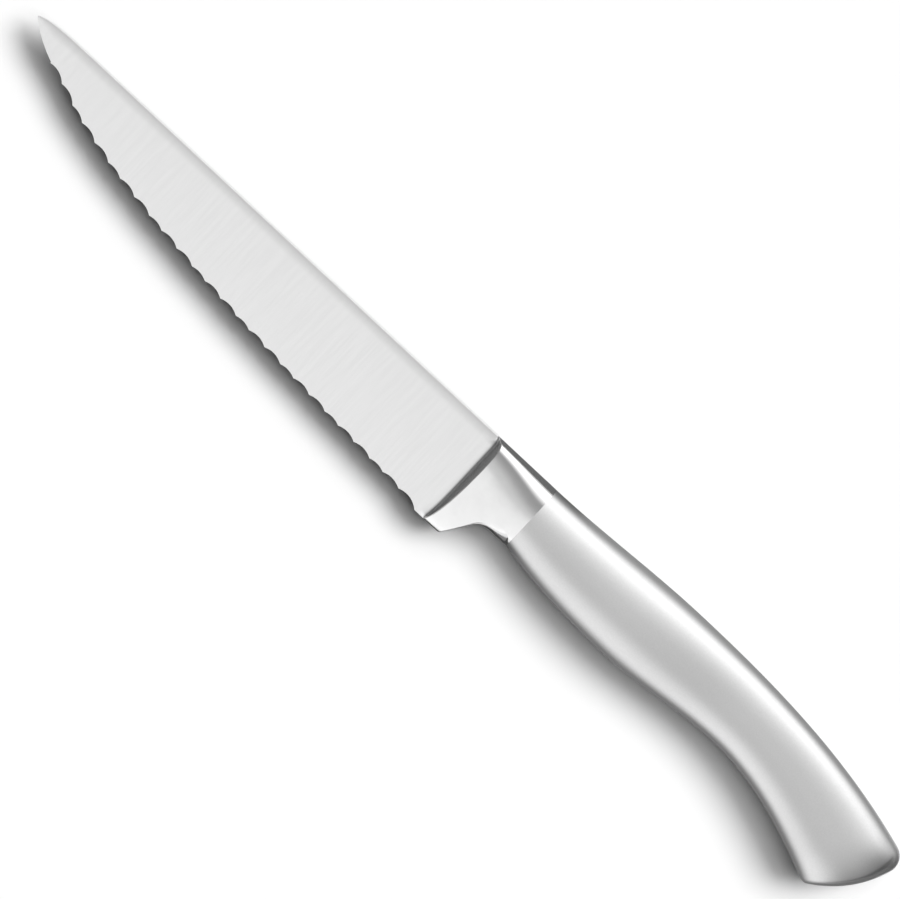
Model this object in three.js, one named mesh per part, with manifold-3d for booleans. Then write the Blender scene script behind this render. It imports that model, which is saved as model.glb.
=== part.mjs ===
// A forged steak knife with a scalloped edge and a hollow steel handle, lying on its right side.
// Lengths are millimetres and angles degrees. X runs from the point to the butt, Y from the edge to the
// spine, Z up through the thickness. While it is drawn, x = 0 is the plane where the blade meets the bolster,
// y = 0 the straight spine and z = 0 the middle of the thickness. The finished knife stands on z = 0.
import * as THREE from "three";
import { mergeVertices } from "three/addons/utils/BufferGeometryUtils.js";
import Module from "manifold-3d";

const wasm = await Module();
wasm.setup();

// Blade
const BLADE_LENGTH = 120.2; // point to bolster
const BLADE_DEPTH = 21.5; // spine to the heel of the edge
const SPINE_THICKNESS = 2.2; // at the bolster
const POINT_THICKNESS = 1.05; // of the spine line, carried on to the point
const EDGE_THICKNESS = 0.3; // left for the grinding wheel, halfway along the edge
const EDGE_STOCK = 0.6; // depth of the forged blank that the grinding takes off
const POINT_DROP = 1.25; // of the point below the spine line
const POINT_CURVE_LENGTH = 10.2; // where the spine bends down to the point
const POINT_CURVE_FULLNESS = 1.9; // from the point back to where the bend's two tangents meet
const POINT_EDGE_LENGTH = 7.8; // plain edge from the point to the first tooth
const POINT_EDGE_BULGE = 0.45; // rise of that plain edge over its chord
const FIRST_TOOTH_DEPTH = 6.3; // below the spine
const BELLY_LEAD_LENGTH = 11.1; // the edge curve's first handle, from the first tooth
const BELLY_LEAD_DROP = 2.9;
const BELLY_TRAIL_LENGTH = 94.6; // and its second handle, forward from the last tooth of the row
const BELLY_TRAIL_RISE = 4.65;
const ROW_END_FROM_BOLSTER = 7.4; // last tooth of the even row
const ROW_END_DEPTH = 20.55;
const HEEL_EDGE_LENGTH = 2.3; // plain edge between the last scallop and the bolster
const ROOT_LENGTH = 2.9; // of the blade inside the bolster
const ROOT_COVER = 1.1; // bolster over the root at spine and heel

// Scallops: a three-ribbed wheel cuts two wide ones and a narrow one, again and again, from the right only
const SCALLOP_WIDTHS = [4.64, 4.69, 3.93]; // at the point end
const SCALLOP_NARROWING = 0.06; // share of the width lost along the edge, from the point to the heel
const SCALLOP_RADIUS = 4.1; // as seen on the left side
const GRIND_ANGLE = 20; // between the wheel's face and the blade

// Bolster
const BOLSTER_LENGTH = 15.3;
const BOLSTER_THICKNESS = 11; // behind its front face
const FRONT_FACE_ANGLE = 66; // between the front face and the blade
const HEEL_LENGTH = 4; // flat underside of the finger guard
const GUARD_ANGLE = 55; // slope of the guard's back, up to the neck
const HEEL_RADIUS = 0.8;
const FINGER_RADIUS = 4; // hollow between guard and neck
const GUARD_STOCK = 0.2; // taken off under the heel when the guard's outline is cut
const NECK_DEPTH = 14.46; // where the bolster meets the handle
const NECK_THICKNESS = 12;
const FRONT_WIDEST_DEPTH = 5.5; // spine to the widest line, at the front
const FRONT_SPINE_SQUARENESS = 3.8; // oval exponents: 2 is an ellipse, more is squarer
const FRONT_HEEL_SQUARENESS = 1.6;
const HANDLE_SQUARENESS = 2.4;

// Handle, measured from the joint with the bolster
const JOINT_TO_CROWN = 36.3; // highest point of the back
const CROWN_RISE = 1.35; // above the blade's spine
const BUTT_TOP_DEPTH = 6.5; // spine to the butt's upper corner, before rounding
const BUTT_TOP_SLOPE = 18.5;
const NECK_BELLY_SLOPE = 11.3;
const JOINT_TO_PALM = 27.8; // fullest point of the belly
const PALM_DEPTH = 16.97;
const PALM_TO_WAIST = 27; // hollow for the last fingers
const WAIST_DEPTH = 14.94;
const WAIST_TO_HOOK = 31.2; // lower corner of the butt, before rounding
const HOOK_DEPTH = 23.05;
const HOOK_SLOPE = 24.5;
const BUTT_LEAN = 11.84; // the butt's upper corner stands this far behind the hook
const PALM_THICKNESS = 15;
const WAIST_THICKNESS = 13.2;
const BUTT_THICKNESS = 13.6;
const BUTT_BOW = 2.35; // bulge of the butt from corner to corner
const BUTT_CAMBER = 1.2; // and across its thickness
const BUTT_BOW_POWER = 4; // how late along the handle its sections take up that bulge
const BUTT_TOP_RADIUS = 3.6;
const BUTT_SIDE_RADIUS = 2.4;
const BUTT_ROLL = 0.9; // how far each side rolls in at the butt
const BUTT_ROLL_LENGTH = 9;
const HOOK_RADIUS = 1.8;

// Inside
const SHELL_WALL = 1.2;
const SEAM_WIDTH = 0.8; // weld bead between the half shells
const FIT_GAP = 0.3; // round everything that slides into the hollow
const INNER_RADIUS = 0.6; // smallest rounding inside the shells
const SPIGOT_LENGTH = 6; // step behind the bolster that centres the shells
const TANG_LENGTH = 45; // beyond the spigot
const TANG_THICKNESS = 3;
const TANG_TAPER = 1.5; // narrowing of each edge towards the tang's end
const TANG_BEDDING = 1.3; // cement over the tang's edges at the neck
const TANG_END_RADIUS = 2;
const CEMENT_COVER = 5; // cement past the tang's end

// Fineness of the facets
const OVAL_POINTS = 40;
const HANDLE_ROWS = 24;
const CORNER_ROWS = 5;
const BUTT_ROWS = 3;
const BOLSTER_ROWS = 14;
const SCALLOP_STEPS = 10;
const POINT_STEPS = 8;
const ARC_STEPS = 6;

const STEEL = { color: 0xd4d6d8, metalness: 1 };
const GROUND_STEEL = new THREE.MeshStandardMaterial({ ...STEEL, roughness: 0.34 });
const SATIN_STEEL_LEFT = new THREE.MeshStandardMaterial({ ...STEEL, roughness: 0.4 });
const SATIN_STEEL_RIGHT = SATIN_STEEL_LEFT.clone();
const WELD_STEEL = new THREE.MeshStandardMaterial({ ...STEEL, roughness: 0.42 });
const CEMENT = new THREE.MeshStandardMaterial({ color: 0x8f8a80, metalness: 0, roughness: 0.9 });

const UP = new THREE.Vector3(0, 0, 1);
const HANDLE_LENGTH = JOINT_TO_PALM + PALM_TO_WAIST + WAIST_TO_HOOK + BUTT_LEAN;
const BEYOND = BLADE_LENGTH + BOLSTER_LENGTH + HANDLE_LENGTH; // reaches past the knife from any of its points
const radians = THREE.MathUtils.degToRad;
const lerp = THREE.MathUtils.lerp;

// A closed geometry as a solid that can be joined and cut.
function solidOf(geometry) {
  const bare = new THREE.BufferGeometry();
  bare.setAttribute("position", geometry.getAttribute("position"));
  bare.setIndex(geometry.getIndex());
  const merged = mergeVertices(bare);
  const vertProperties = merged.getAttribute("position").array;
  const triVerts = new Uint32Array(merged.getIndex().array);
  return new wasm.Manifold(new wasm.Mesh({ numProp: 3, vertProperties, triVerts }));
}

// A solid as a named mesh of the knife.
function pieceOf(name, solid, material) {
  const { vertProperties, triVerts } = solid.getMesh();
  const geometry = new THREE.BufferGeometry();
  geometry.setAttribute("position", new THREE.BufferAttribute(vertProperties, 3));
  geometry.setIndex(new THREE.BufferAttribute(triVerts, 1));
  geometry.computeVertexNormals();
  const piece = new THREE.Mesh(geometry, material);
  piece.name = name;
  return piece;
}

// A box between two corners, given as [x, y, z].
function block(low, high) {
  const size = high.map((value, axis) => value - low[axis]);
  const centre = high.map((value, axis) => (value + low[axis]) / 2);
  return solidOf(new THREE.BoxGeometry(...size).translate(...centre));
}

// A body through a stack of rings with equally many points, closed by a fan over each end.
function loft(rings) {
  const count = rings[0].length;
  const middles = [rings[0], rings.at(-1)].map((ring) =>
    ring.reduce((sum, point) => sum.add(point), new THREE.Vector3()).divideScalar(count),
  );
  const points = [...rings.flat(), ...middles];
  const frontMiddle = points.length - 2;
  const backMiddle = points.length - 1;
  const lastRow = (rings.length - 1) * count;
  const index = [];
  for (let i = 0; i < count; i++) {
    const next = (i + 1) % count;
    index.push(frontMiddle, next, i);
    index.push(backMiddle, lastRow + i, lastRow + next);
    for (let row = 0; row < lastRow; row += count) {
      index.push(row + i, row + count + next, row + count + i);
      index.push(row + i, row + next, row + count + next);
    }
  }
  const geometry = new THREE.BufferGeometry().setFromPoints(points);
  return solidOf(geometry.setIndex(index));
}

// A path along straight runs, with true arcs at its corners. Each corner is [x, y, radius], and a radius is
// limited to what its two runs can hold.
function roundedPath(corners) {
  const at = corners.map(([x, y]) => new THREE.Vector2(x, y));
  const path = new THREE.Path().moveTo(at[0].x, at[0].y);
  for (let i = 1; i < at.length - 1; i++) {
    const back = at[i - 1].clone().sub(at[i]);
    const on = at[i + 1].clone().sub(at[i]);
    const room = Math.min(back.length(), on.length()) / 2;
    const half = Math.acos(back.normalize().dot(on.normalize())) / 2;
    const radius = Math.min(corners[i][2], room * Math.tan(half));
    const centre = back.clone().add(on).setLength(radius / Math.sin(half)).add(at[i]);
    const start = back.clone().multiplyScalar(radius / Math.tan(half)).add(at[i]).sub(centre);
    const end = on.clone().multiplyScalar(radius / Math.tan(half)).add(at[i]).sub(centre);
    path.lineTo(centre.x + start.x, centre.y + start.y);
    path.absarc(centre.x, centre.y, radius, start.angle(), end.angle(), start.cross(end) < 0);
  }
  return path.lineTo(at.at(-1).x, at.at(-1).y);
}

// Where an angle round an oval lies: [along the depth, across the thickness], each from -1 to 1.
function onOval(angle, squareness) {
  const share = (value) => Math.sign(value) * Math.abs(value) ** (2 / squareness);
  return [share(Math.cos(angle)), share(Math.sin(angle))];
}

// The angles round an oval, from the spine over the left side to the belly and back.
function ovalAngles() {
  return Array.from({ length: OVAL_POINTS }, (_, i) => (2 * Math.PI * i) / OVAL_POINTS);
}

// A smooth line through stations, each [x, value, slope], that runs straight on past both ends.
class Rail {
  constructor(...knots) {
    this.knots = knots;
  }

  at(x) {
    const next = this.knots.findIndex((knot) => knot[0] > x);
    if (next < 1) {
      const [endX, value, slope] = next === 0 ? this.knots[0] : this.knots.at(-1);
      return value + slope * (x - endX);
    }
    const [x0, value0, slope0] = this.knots[next - 1];
    const [x1, value1, slope1] = this.knots[next];
    const span = x1 - x0;
    const t = (x - x0) / span;
    const blend = t * t * (3 - 2 * t);
    const pull = slope0 * t * (1 - t) ** 2 + slope1 * t * t * (t - 1);
    return lerp(value0, value1, blend) + span * pull;
  }
}

// Outline of the edge: the point, the teeth of the row, and the last tooth before the heel.
const point = new THREE.Vector2(-BLADE_LENGTH, -POINT_DROP);
const firstTooth = new THREE.Vector2(POINT_EDGE_LENGTH - BLADE_LENGTH, -FIRST_TOOTH_DEPTH);
const rowEnd = new THREE.Vector2(-ROW_END_FROM_BOLSTER, -ROW_END_DEPTH);
const lastTooth = new THREE.Vector2(-HEEL_EDGE_LENGTH, -BLADE_DEPTH);
const edgeLead = firstTooth.clone().add(new THREE.Vector2(BELLY_LEAD_LENGTH, -BELLY_LEAD_DROP));
const edgeTrail = rowEnd.clone().add(new THREE.Vector2(-BELLY_TRAIL_LENGTH, BELLY_TRAIL_RISE));
const edgeCurve = new THREE.CubicBezierCurve(firstTooth, edgeLead, edgeTrail, rowEnd);

// Each side of the blade is one true plane, thinning from the spine to the edge and from bolster to point.
const middleOfEdge = edgeCurve.getPointAt(0.5);
const spineHalf = SPINE_THICKNESS / 2;
const thinningAlong = (SPINE_THICKNESS - POINT_THICKNESS) / 2 / BLADE_LENGTH;
const halfAboveMiddle = spineHalf + thinningAlong * middleOfEdge.x;
const thinningDown = (halfAboveMiddle - EDGE_THICKNESS / 2) / -middleOfEdge.y;

// Half the blade's thickness over a point of its outline.
function halfThickness(place) {
  return spineHalf + thinningAlong * place.x + thinningDown * place.y;
}

// What lies outside one side plane of the blade: side 1 is the left, side -1 the right.
function outsideFace(side) {
  const normal = new THREE.Vector3(-thinningAlong, -thinningDown, side).normalize();
  const turn = new THREE.Quaternion().setFromUnitVectors(UP, normal);
  const slab = new THREE.BoxGeometry(2 * BEYOND, 2 * BEYOND, SPINE_THICKNESS);
  slab.translate(0, 0, SPINE_THICKNESS / 2).applyQuaternion(turn).translate(0, 0, side * spineHalf);
  return solidOf(slab);
}

// The teeth of the even row, point end first.
function rowTeeth() {
  const length = edgeCurve.getLength();
  const mean = SCALLOP_WIDTHS.reduce((sum, width) => sum + width, 0) / SCALLOP_WIDTHS.length;
  const count = Math.round(length / (mean * (1 - SCALLOP_NARROWING / 2)));
  const widths = Array.from(
    { length: count },
    (_, i) => SCALLOP_WIDTHS[i % SCALLOP_WIDTHS.length] * (1 - (SCALLOP_NARROWING * i) / count),
  );
  const total = widths.reduce((sum, width) => sum + width, 0);
  let reached = 0;
  const teeth = widths.map((width) => {
    reached += width;
    return edgeCurve.getPointAt(Math.min(1, reached / total));
  });
  return [firstTooth, ...teeth];
}

// The grinding wheel's profile between two teeth: it is seen along the wheel's path, so it is flatter than
// the scallop that it leaves, and it rises past both teeth so that neighbouring cuts meet in a ridge.
function wheelProfile(width) {
  const radius = SCALLOP_RADIUS / Math.sin(radians(GRIND_ANGLE));
  const sink = Math.sqrt(radius ** 2 - (width / 2) ** 2);
  const reach = Math.asin(width / radius);
  const profile = new THREE.Shape();
  profile.absarc(0, sink, radius, -Math.PI / 2 - reach, -Math.PI / 2 + reach, false);
  profile.lineTo(width, sink + width);
  profile.lineTo(-width, sink + width);
  return profile;
}

// The profile that leaves the plain, slightly full edge at the point.
function pointProfile(width) {
  const bulge = POINT_EDGE_BULGE * Math.sin(radians(GRIND_ANGLE));
  const radius = ((width / 2) ** 2 + bulge ** 2) / (2 * bulge);
  const reach = Math.asin(width / 2 / radius);
  const profile = new THREE.Shape();
  profile.moveTo(-width, 0).lineTo(-width / 2, 0);
  profile.absarc(0, bulge - radius, radius, Math.PI / 2 + reach, Math.PI / 2 - reach, true);
  profile.lineTo(width / 2, width);
  profile.lineTo(-width, width);
  return profile;
}

// Sweeps a profile up the right side of the blade, so that it breaks through the left side between two
// places.
function grind(from, to, profileOf) {
  const width = from.distanceTo(to);
  const middle = from.clone().add(to).divideScalar(2);
  const along = new THREE.Vector3(to.x - from.x, to.y - from.y, 0).normalize();
  const outward = new THREE.Vector3().crossVectors(along, UP);
  const sine = Math.sin(radians(GRIND_ANGLE));
  const cosine = Math.cos(radians(GRIND_ANGLE));
  const path = outward.clone().multiplyScalar(-cosine).addScaledVector(UP, -sine);
  const away = outward.clone().multiplyScalar(sine).addScaledVector(UP, -cosine);
  const depth = (2 * SPINE_THICKNESS) / sine;
  const settings = { depth, bevelEnabled: false, curveSegments: SCALLOP_STEPS };
  const cutter = new THREE.ExtrudeGeometry(profileOf(width), settings);
  cutter.translate(0, 0, -depth / 2).applyMatrix4(new THREE.Matrix4().makeBasis(along, away, path));
  return solidOf(cutter.translate(middle.x, middle.y, halfThickness(middle)));
}

// The blade: a wedge-ground blank whose edge is cut by the wheel, with a root that goes into the bolster.
function makeBlade() {
  const bend = new THREE.Vector2(point.x + POINT_CURVE_FULLNESS, 0);
  const below = (place) => [place.x, place.y - EDGE_STOCK];
  const rootTop = -ROOT_COVER;
  const rootBottom = ROOT_COVER - BLADE_DEPTH;
  const outline = new THREE.Shape().moveTo(ROOT_LENGTH, rootTop);
  outline.lineTo(0, rootTop).lineTo(0, 0).lineTo(POINT_CURVE_LENGTH - BLADE_LENGTH, 0);
  outline.quadraticCurveTo(bend.x, bend.y, point.x, point.y);
  outline.lineTo(...below(point)).lineTo(...below(firstTooth));
  outline.bezierCurveTo(...below(edgeLead), ...below(edgeTrail), ...below(rowEnd));
  outline.lineTo(lastTooth.x, lastTooth.y).lineTo(0, -BLADE_DEPTH).lineTo(0, rootBottom);
  outline.lineTo(ROOT_LENGTH, rootBottom);
  const settings = { depth: 2 * SPINE_THICKNESS, bevelEnabled: false, curveSegments: POINT_STEPS };
  const blank = new THREE.ExtrudeGeometry(outline, settings).translate(0, 0, -SPINE_THICKNESS);
  const teeth = [...rowTeeth(), lastTooth];
  const cuts = teeth.slice(1).map((tooth, i) => grind(teeth[i], tooth, wheelProfile));
  cuts.push(grind(point, firstTooth, pointProfile), outsideFace(1), outsideFace(-1));
  return cuts.reduce((blade, cut) => blade.subtract(cut), solidOf(blank));
}

// The bolster: ovals that are full and deep at the front and shrink to the handle's own section at the neck.
// The outline of the finger guard is cut through them, and the front face slopes down to the blade on both
// sides.
function makeBolster() {
  const frontRun = 1 / Math.tan(radians(FRONT_FACE_ANGLE));
  const ridge = -spineHalf * frontRun;
  const guardBack = (BLADE_DEPTH - NECK_DEPTH) / Math.tan(radians(GUARD_ANGLE));
  const underside = roundedPath([
    [ridge, -BLADE_DEPTH, 0],
    [HEEL_LENGTH, -BLADE_DEPTH, HEEL_RADIUS],
    [HEEL_LENGTH + guardBack, -NECK_DEPTH, FINGER_RADIUS],
    [BOLSTER_LENGTH, -NECK_DEPTH, 0],
  ]);
  const rings = Array.from({ length: BOLSTER_ROWS + 1 }, (_, row) => {
    const x = lerp(ridge, BOLSTER_LENGTH, row / BOLSTER_ROWS);
    const share = THREE.MathUtils.smoothstep(x, 0, BOLSTER_LENGTH);
    const rise = THREE.MathUtils.smoothstep(x, HEEL_LENGTH, BOLSTER_LENGTH);
    const low = -lerp(BLADE_DEPTH + GUARD_STOCK, NECK_DEPTH, rise);
    const widest = -lerp(FRONT_WIDEST_DEPTH, NECK_DEPTH / 2, share);
    const halfWidth = lerp(BOLSTER_THICKNESS, NECK_THICKNESS, share) / 2;
    return ovalAngles().map((angle) => {
      const upper = Math.cos(angle) > 0;
      const front = upper ? FRONT_SPINE_SQUARENESS : FRONT_HEEL_SQUARENESS;
      const [deep, across] = onOval(angle, lerp(front, HANDLE_SQUARENESS, share));
      const reach = upper ? -widest : widest - low;
      return new THREE.Vector3(x, widest + reach * deep, halfWidth * across);
    });
  });
  const outline = new THREE.Shape(underside.getPoints(ARC_STEPS));
  outline.lineTo(BOLSTER_LENGTH, BLADE_DEPTH).lineTo(ridge, BLADE_DEPTH);
  const cut = new THREE.ExtrudeGeometry(outline, { depth: 2 * BEYOND, bevelEnabled: false });
  cut.translate(0, 0, -BEYOND);
  const wing = (BOLSTER_LENGTH - ridge) / frontRun;
  const wedge = new THREE.Shape().moveTo(ridge, 0).lineTo(BOLSTER_LENGTH, -wing).lineTo(BOLSTER_LENGTH, wing);
  const keep = new THREE.ExtrudeGeometry(wedge, { depth: 2 * BLADE_DEPTH, bevelEnabled: false });
  keep.translate(0, 0, -BLADE_DEPTH / 2).rotateX(Math.PI / 2);
  return loft(rings).intersect(solidOf(cut)).intersect(solidOf(keep));
}

// The handle's two rails and its thickness, all along x from the joint.
const slope = (angle) => Math.tan(radians(angle));
const palm = JOINT_TO_PALM;
const waist = palm + PALM_TO_WAIST;
const hook = waist + WAIST_TO_HOOK;
const spineRail = new Rail(
  [0, 0, 0],
  [JOINT_TO_CROWN, CROWN_RISE, 0],
  [HANDLE_LENGTH, -BUTT_TOP_DEPTH, -slope(BUTT_TOP_SLOPE)],
);
const bellyRail = new Rail(
  [0, -NECK_DEPTH, -slope(NECK_BELLY_SLOPE)],
  [palm, -PALM_DEPTH, 0],
  [waist, -WAIST_DEPTH, 0],
  [hook, -HOOK_DEPTH, -slope(HOOK_SLOPE)],
);
const thicknessRail = new Rail(
  [0, NECK_THICKNESS, 0],
  [palm, PALM_THICKNESS, 0],
  [waist, WAIST_THICKNESS, 0],
  [(hook + HANDLE_LENGTH) / 2, BUTT_THICKNESS, 0],
);

// One section of the handle, as the middle and half chord of its line from belly to spine, and its half
// width, which shrinks where the sides roll in at the butt.
function handleSection(t) {
  const spineX = HANDLE_LENGTH * t;
  const bellyX = hook * t;
  const top = new THREE.Vector3(BOLSTER_LENGTH + spineX, spineRail.at(spineX), 0);
  const bottom = new THREE.Vector3(BOLSTER_LENGTH + bellyX, bellyRail.at(bellyX), 0);
  const middle = top.clone().add(bottom).divideScalar(2);
  const roll = Math.max(0, 1 - (HANDLE_LENGTH - spineX) / BUTT_ROLL_LENGTH);
  const halfWidth = thicknessRail.at((spineX + bellyX) / 2) / 2 - BUTT_ROLL * roll ** 2;
  return { middle, chord: top.sub(middle), halfWidth };
}

const buttSection = handleSection(1);
const buttOutward = new THREE.Vector3().crossVectors(buttSection.chord, UP).normalize();

// How far the bowed butt stands out of its chord, at shares of its half chord and half width.
function buttRise(deep, across) {
  return BUTT_BOW * (1 - deep ** 2) - BUTT_CAMBER * across ** 2;
}

// A point on the handle's side, at a share of its length, drawn in by an inset.
function sidePoint(t, [deep, across], inset) {
  const { middle, chord, halfWidth } = handleSection(t);
  const bowed = (buttRise(deep, across) - inset) * Math.max(0, t) ** BUTT_BOW_POWER;
  return middle
    .addScaledVector(chord, deep * (1 - inset / chord.length()))
    .addScaledVector(UP, across * (halfWidth - inset))
    .addScaledVector(buttOutward, bowed);
}

// A point on the butt's face, at a share of the way from its middle to its rim, drawn in by an inset.
function buttPoint(share, [deep, across], inset) {
  const { middle, chord, halfWidth } = buttSection;
  return middle
    .clone()
    .addScaledVector(chord, share * deep * (1 - inset / chord.length()))
    .addScaledVector(UP, share * across * (halfWidth - inset))
    .addScaledVector(buttOutward, buttRise(share * deep, share * across) - inset);
}

// One line along the handle from its front over the side, round the butt's edge and in to the butt's middle.
function handleLine(angle, inset, lead) {
  const place = onOval(angle, HANDLE_SQUARENESS);
  const rim = sidePoint(1, place, inset);
  const nearEnd = 1 - 1 / HANDLE_ROWS;
  const arriving = rim.clone().sub(sidePoint(nearEnd, place, inset));
  const leaving = buttPoint(nearEnd, place, inset).sub(rim);
  const turn = arriving.angleTo(leaving);
  const endRadius = place[0] > 0 ? BUTT_TOP_RADIUS : HOOK_RADIUS;
  const radius = Math.max(lerp(BUTT_SIDE_RADIUS, endRadius, place[0] ** 2) - inset, INNER_RADIUS);
  const cutBack = radius * Math.tan(turn / 2);
  const sideEnd = 1 - cutBack / (arriving.length() * HANDLE_ROWS);
  const faceStart = 1 - cutBack / rim.distanceTo(buttPoint(0, place, inset));
  const start = sidePoint(sideEnd, place, inset);
  const finish = buttPoint(faceStart, place, inset);
  const pull = Math.cos(turn / 2);
  const line = [sidePoint(-lead / HANDLE_LENGTH, place, inset)];
  for (let row = lead > 0 ? 0 : 1; row < HANDLE_ROWS; row++) {
    line.push(sidePoint((sideEnd * row) / HANDLE_ROWS, place, inset));
  }
  for (let row = 0; row <= CORNER_ROWS; row++) {
    const u = row / CORNER_ROWS;
    const shares = [(1 - u) ** 2, 2 * pull * u * (1 - u), u ** 2];
    const sum = shares[0] + shares[1] + shares[2];
    const corner = new THREE.Vector3().addScaledVector(start, shares[0] / sum);
    line.push(corner.addScaledVector(rim, shares[1] / sum).addScaledVector(finish, shares[2] / sum));
  }
  for (let row = 1; row < BUTT_ROWS; row++) {
    line.push(buttPoint(faceStart * (1 - row / BUTT_ROWS), place, inset));
  }
  return line;
}

// The handle's form drawn in by an inset, with its front carried forward by a lead.
function handleForm(inset, lead) {
  const lines = ovalAngles().map((angle) => handleLine(angle, inset, lead));
  return loft(lines[0].map((_, row) => lines.map((line) => line[row])));
}

// The part of space between two planes across the knife.
function slice(fromX, toX) {
  return block([fromX, -BEYOND, -BEYOND], [toX, BEYOND, BEYOND]);
}

const spigotEnd = BOLSTER_LENGTH + SPIGOT_LENGTH;
const hollowFill = handleForm(SHELL_WALL + FIT_GAP, SPIGOT_LENGTH);

// The stub tang, or the pocket that it leaves when it is grown all round.
function makeTang(grow) {
  const half = NECK_DEPTH / 2 - SHELL_WALL - FIT_GAP - TANG_BEDDING;
  const middle = -NECK_DEPTH / 2;
  const front = spigotEnd - SPIGOT_LENGTH / 2;
  const end = spigotEnd + TANG_LENGTH + grow;
  const corners = [
    [front, middle, 0],
    [front, middle - half - grow, 0],
    [end, middle - half - grow + TANG_TAPER, TANG_END_RADIUS],
    [end, middle + half + grow - TANG_TAPER, TANG_END_RADIUS],
    [front, middle + half + grow, 0],
    [front, middle, 0],
  ];
  const outline = new THREE.Shape(roundedPath(corners).getPoints(ARC_STEPS));
  const depth = TANG_THICKNESS + 2 * grow;
  const tang = new THREE.ExtrudeGeometry(outline, { depth, bevelEnabled: false });
  return solidOf(tang.translate(0, 0, -depth / 2));
}

// The whole forging: blade, bolster, spigot and tang.
function makeForging() {
  const spigot = hollowFill.intersect(slice(BOLSTER_LENGTH - SPIGOT_LENGTH / 2, spigotEnd));
  return [makeBolster(), spigot, makeTang(0)].reduce((whole, part) => whole.add(part), makeBlade());
}

// The cement that beds the tang in the hollow behind the spigot.
function makeCement() {
  const filled = hollowFill.intersect(slice(spigotEnd, spigotEnd + TANG_LENGTH + CEMENT_COVER));
  return filled.subtract(makeTang(FIT_GAP));
}

const skin = handleForm(0, 0).subtract(handleForm(SHELL_WALL, SPIGOT_LENGTH));
const seamHalf = SEAM_WIDTH / 2;
const leftHalf = block([-BEYOND, -BEYOND, seamHalf], [BEYOND, BEYOND, BEYOND]);
const seamBand = block([-BEYOND, -BEYOND, -seamHalf], [BEYOND, BEYOND, seamHalf]);
const rightHalf = block([-BEYOND, -BEYOND, -BEYOND], [BEYOND, BEYOND, -seamHalf]);

const handle = new THREE.Group();
handle.add(
  pieceOf("left_handle_shell", skin.intersect(leftHalf), SATIN_STEEL_LEFT),
  pieceOf("right_handle_shell", skin.intersect(rightHalf), SATIN_STEEL_RIGHT),
  pieceOf("handle_seam_weld", skin.intersect(seamBand), WELD_STEEL),
  pieceOf("tang_cement", makeCement(), CEMENT),
);

const knife = new THREE.Group();
knife.add(pieceOf("blade_with_bolster", makeForging(), GROUND_STEEL), handle);
const extent = new THREE.Box3().setFromObject(knife);
const centre = extent.getCenter(new THREE.Vector3());
knife.position.set(-centre.x, -centre.y, -extent.min.z);

export default knife;
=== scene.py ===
"""A forged steak knife: the looks of its blade, bolster and hollow handle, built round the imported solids.

Sizes are millimetres in the knife's own drawing frame: x = 0 where the blade meets the bolster, y = 0 the
straight spine and z = 0 the middle of the thickness. KnifeFrame carries them to the shared frame in metres.
"""

import logging
import math
from dataclasses import dataclass
from enum import Enum

import bmesh
import bpy
import numpy as np
from mathutils import Matrix, Vector


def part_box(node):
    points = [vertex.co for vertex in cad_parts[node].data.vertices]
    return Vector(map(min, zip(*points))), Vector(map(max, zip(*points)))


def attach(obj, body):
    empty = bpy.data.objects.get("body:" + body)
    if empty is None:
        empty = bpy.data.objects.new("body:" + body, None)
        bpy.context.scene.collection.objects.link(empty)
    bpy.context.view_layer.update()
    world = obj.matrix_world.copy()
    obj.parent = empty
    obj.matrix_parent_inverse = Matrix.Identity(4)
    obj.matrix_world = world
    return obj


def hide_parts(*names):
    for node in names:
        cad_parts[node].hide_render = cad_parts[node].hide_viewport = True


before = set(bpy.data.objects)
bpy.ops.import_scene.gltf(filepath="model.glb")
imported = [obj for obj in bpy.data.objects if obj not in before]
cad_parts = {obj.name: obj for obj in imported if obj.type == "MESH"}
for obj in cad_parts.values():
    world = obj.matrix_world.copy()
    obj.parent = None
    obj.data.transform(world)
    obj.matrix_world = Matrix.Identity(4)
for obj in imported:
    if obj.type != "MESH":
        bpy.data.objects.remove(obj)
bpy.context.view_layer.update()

LOG = logging.getLogger("steak_knife")
BODY = "root"
MM = 0.001
UP = np.array([0.0, 0.0, 1.0])
WHITE = (1.0, 1.0, 1.0, 1.0)
BLACK = (0.0, 0.0, 0.0, 1.0)
SHARP_ANGLE = math.radians(12)  # between two faces that meet in a real edge
MERGE_DISTANCE = 1e-4  # mm, for points that two patches share
SHADE_STOPS = (0.35, 0.65)  # levels of a finish's grain that get its dark and its light shade
GLOSS_STOPS = (0.3, 0.7)  # levels between which its roughness goes from end to end
NEW_STOP = 0.5  # where a colour ramp gets a new stop, before it is moved to its place
MATH = "ShaderNodeMath"
VECTOR_MATH = "ShaderNodeVectorMath"

Colour = tuple[float, float, float, float]


class Side(Enum):
    """The knife's two sides, by the sign of Z that each one faces."""

    LEFT = 1
    RIGHT = -1


class Grind(Enum):
    """Which way a finish's scratches run on the knife."""

    ACROSS = "from spine to edge"
    ALONG = "from point to butt"
    NONE = "no direction"


class BodySlot(Enum):
    """The material slots of the bolster's body, by number."""

    BOLSTER = 0
    TANG = 1
    BLADE = 2


def linear(hex_colour: str) -> Colour:
    """Turn an sRGB hex colour into the linear colour that a shader takes.

    Args:
        hex_colour: Six hex digits, such as "d8d9da".

    Returns:
        Linear red, green, blue and an alpha of 1.
    """
    channels = [int(hex_colour[at : at + 2], 16) / 255 for at in (0, 2, 4)]
    return (*(c / 12.92 if c <= 0.04045 else ((c + 0.055) / 1.055) ** 2.4 for c in channels), 1.0)


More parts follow.
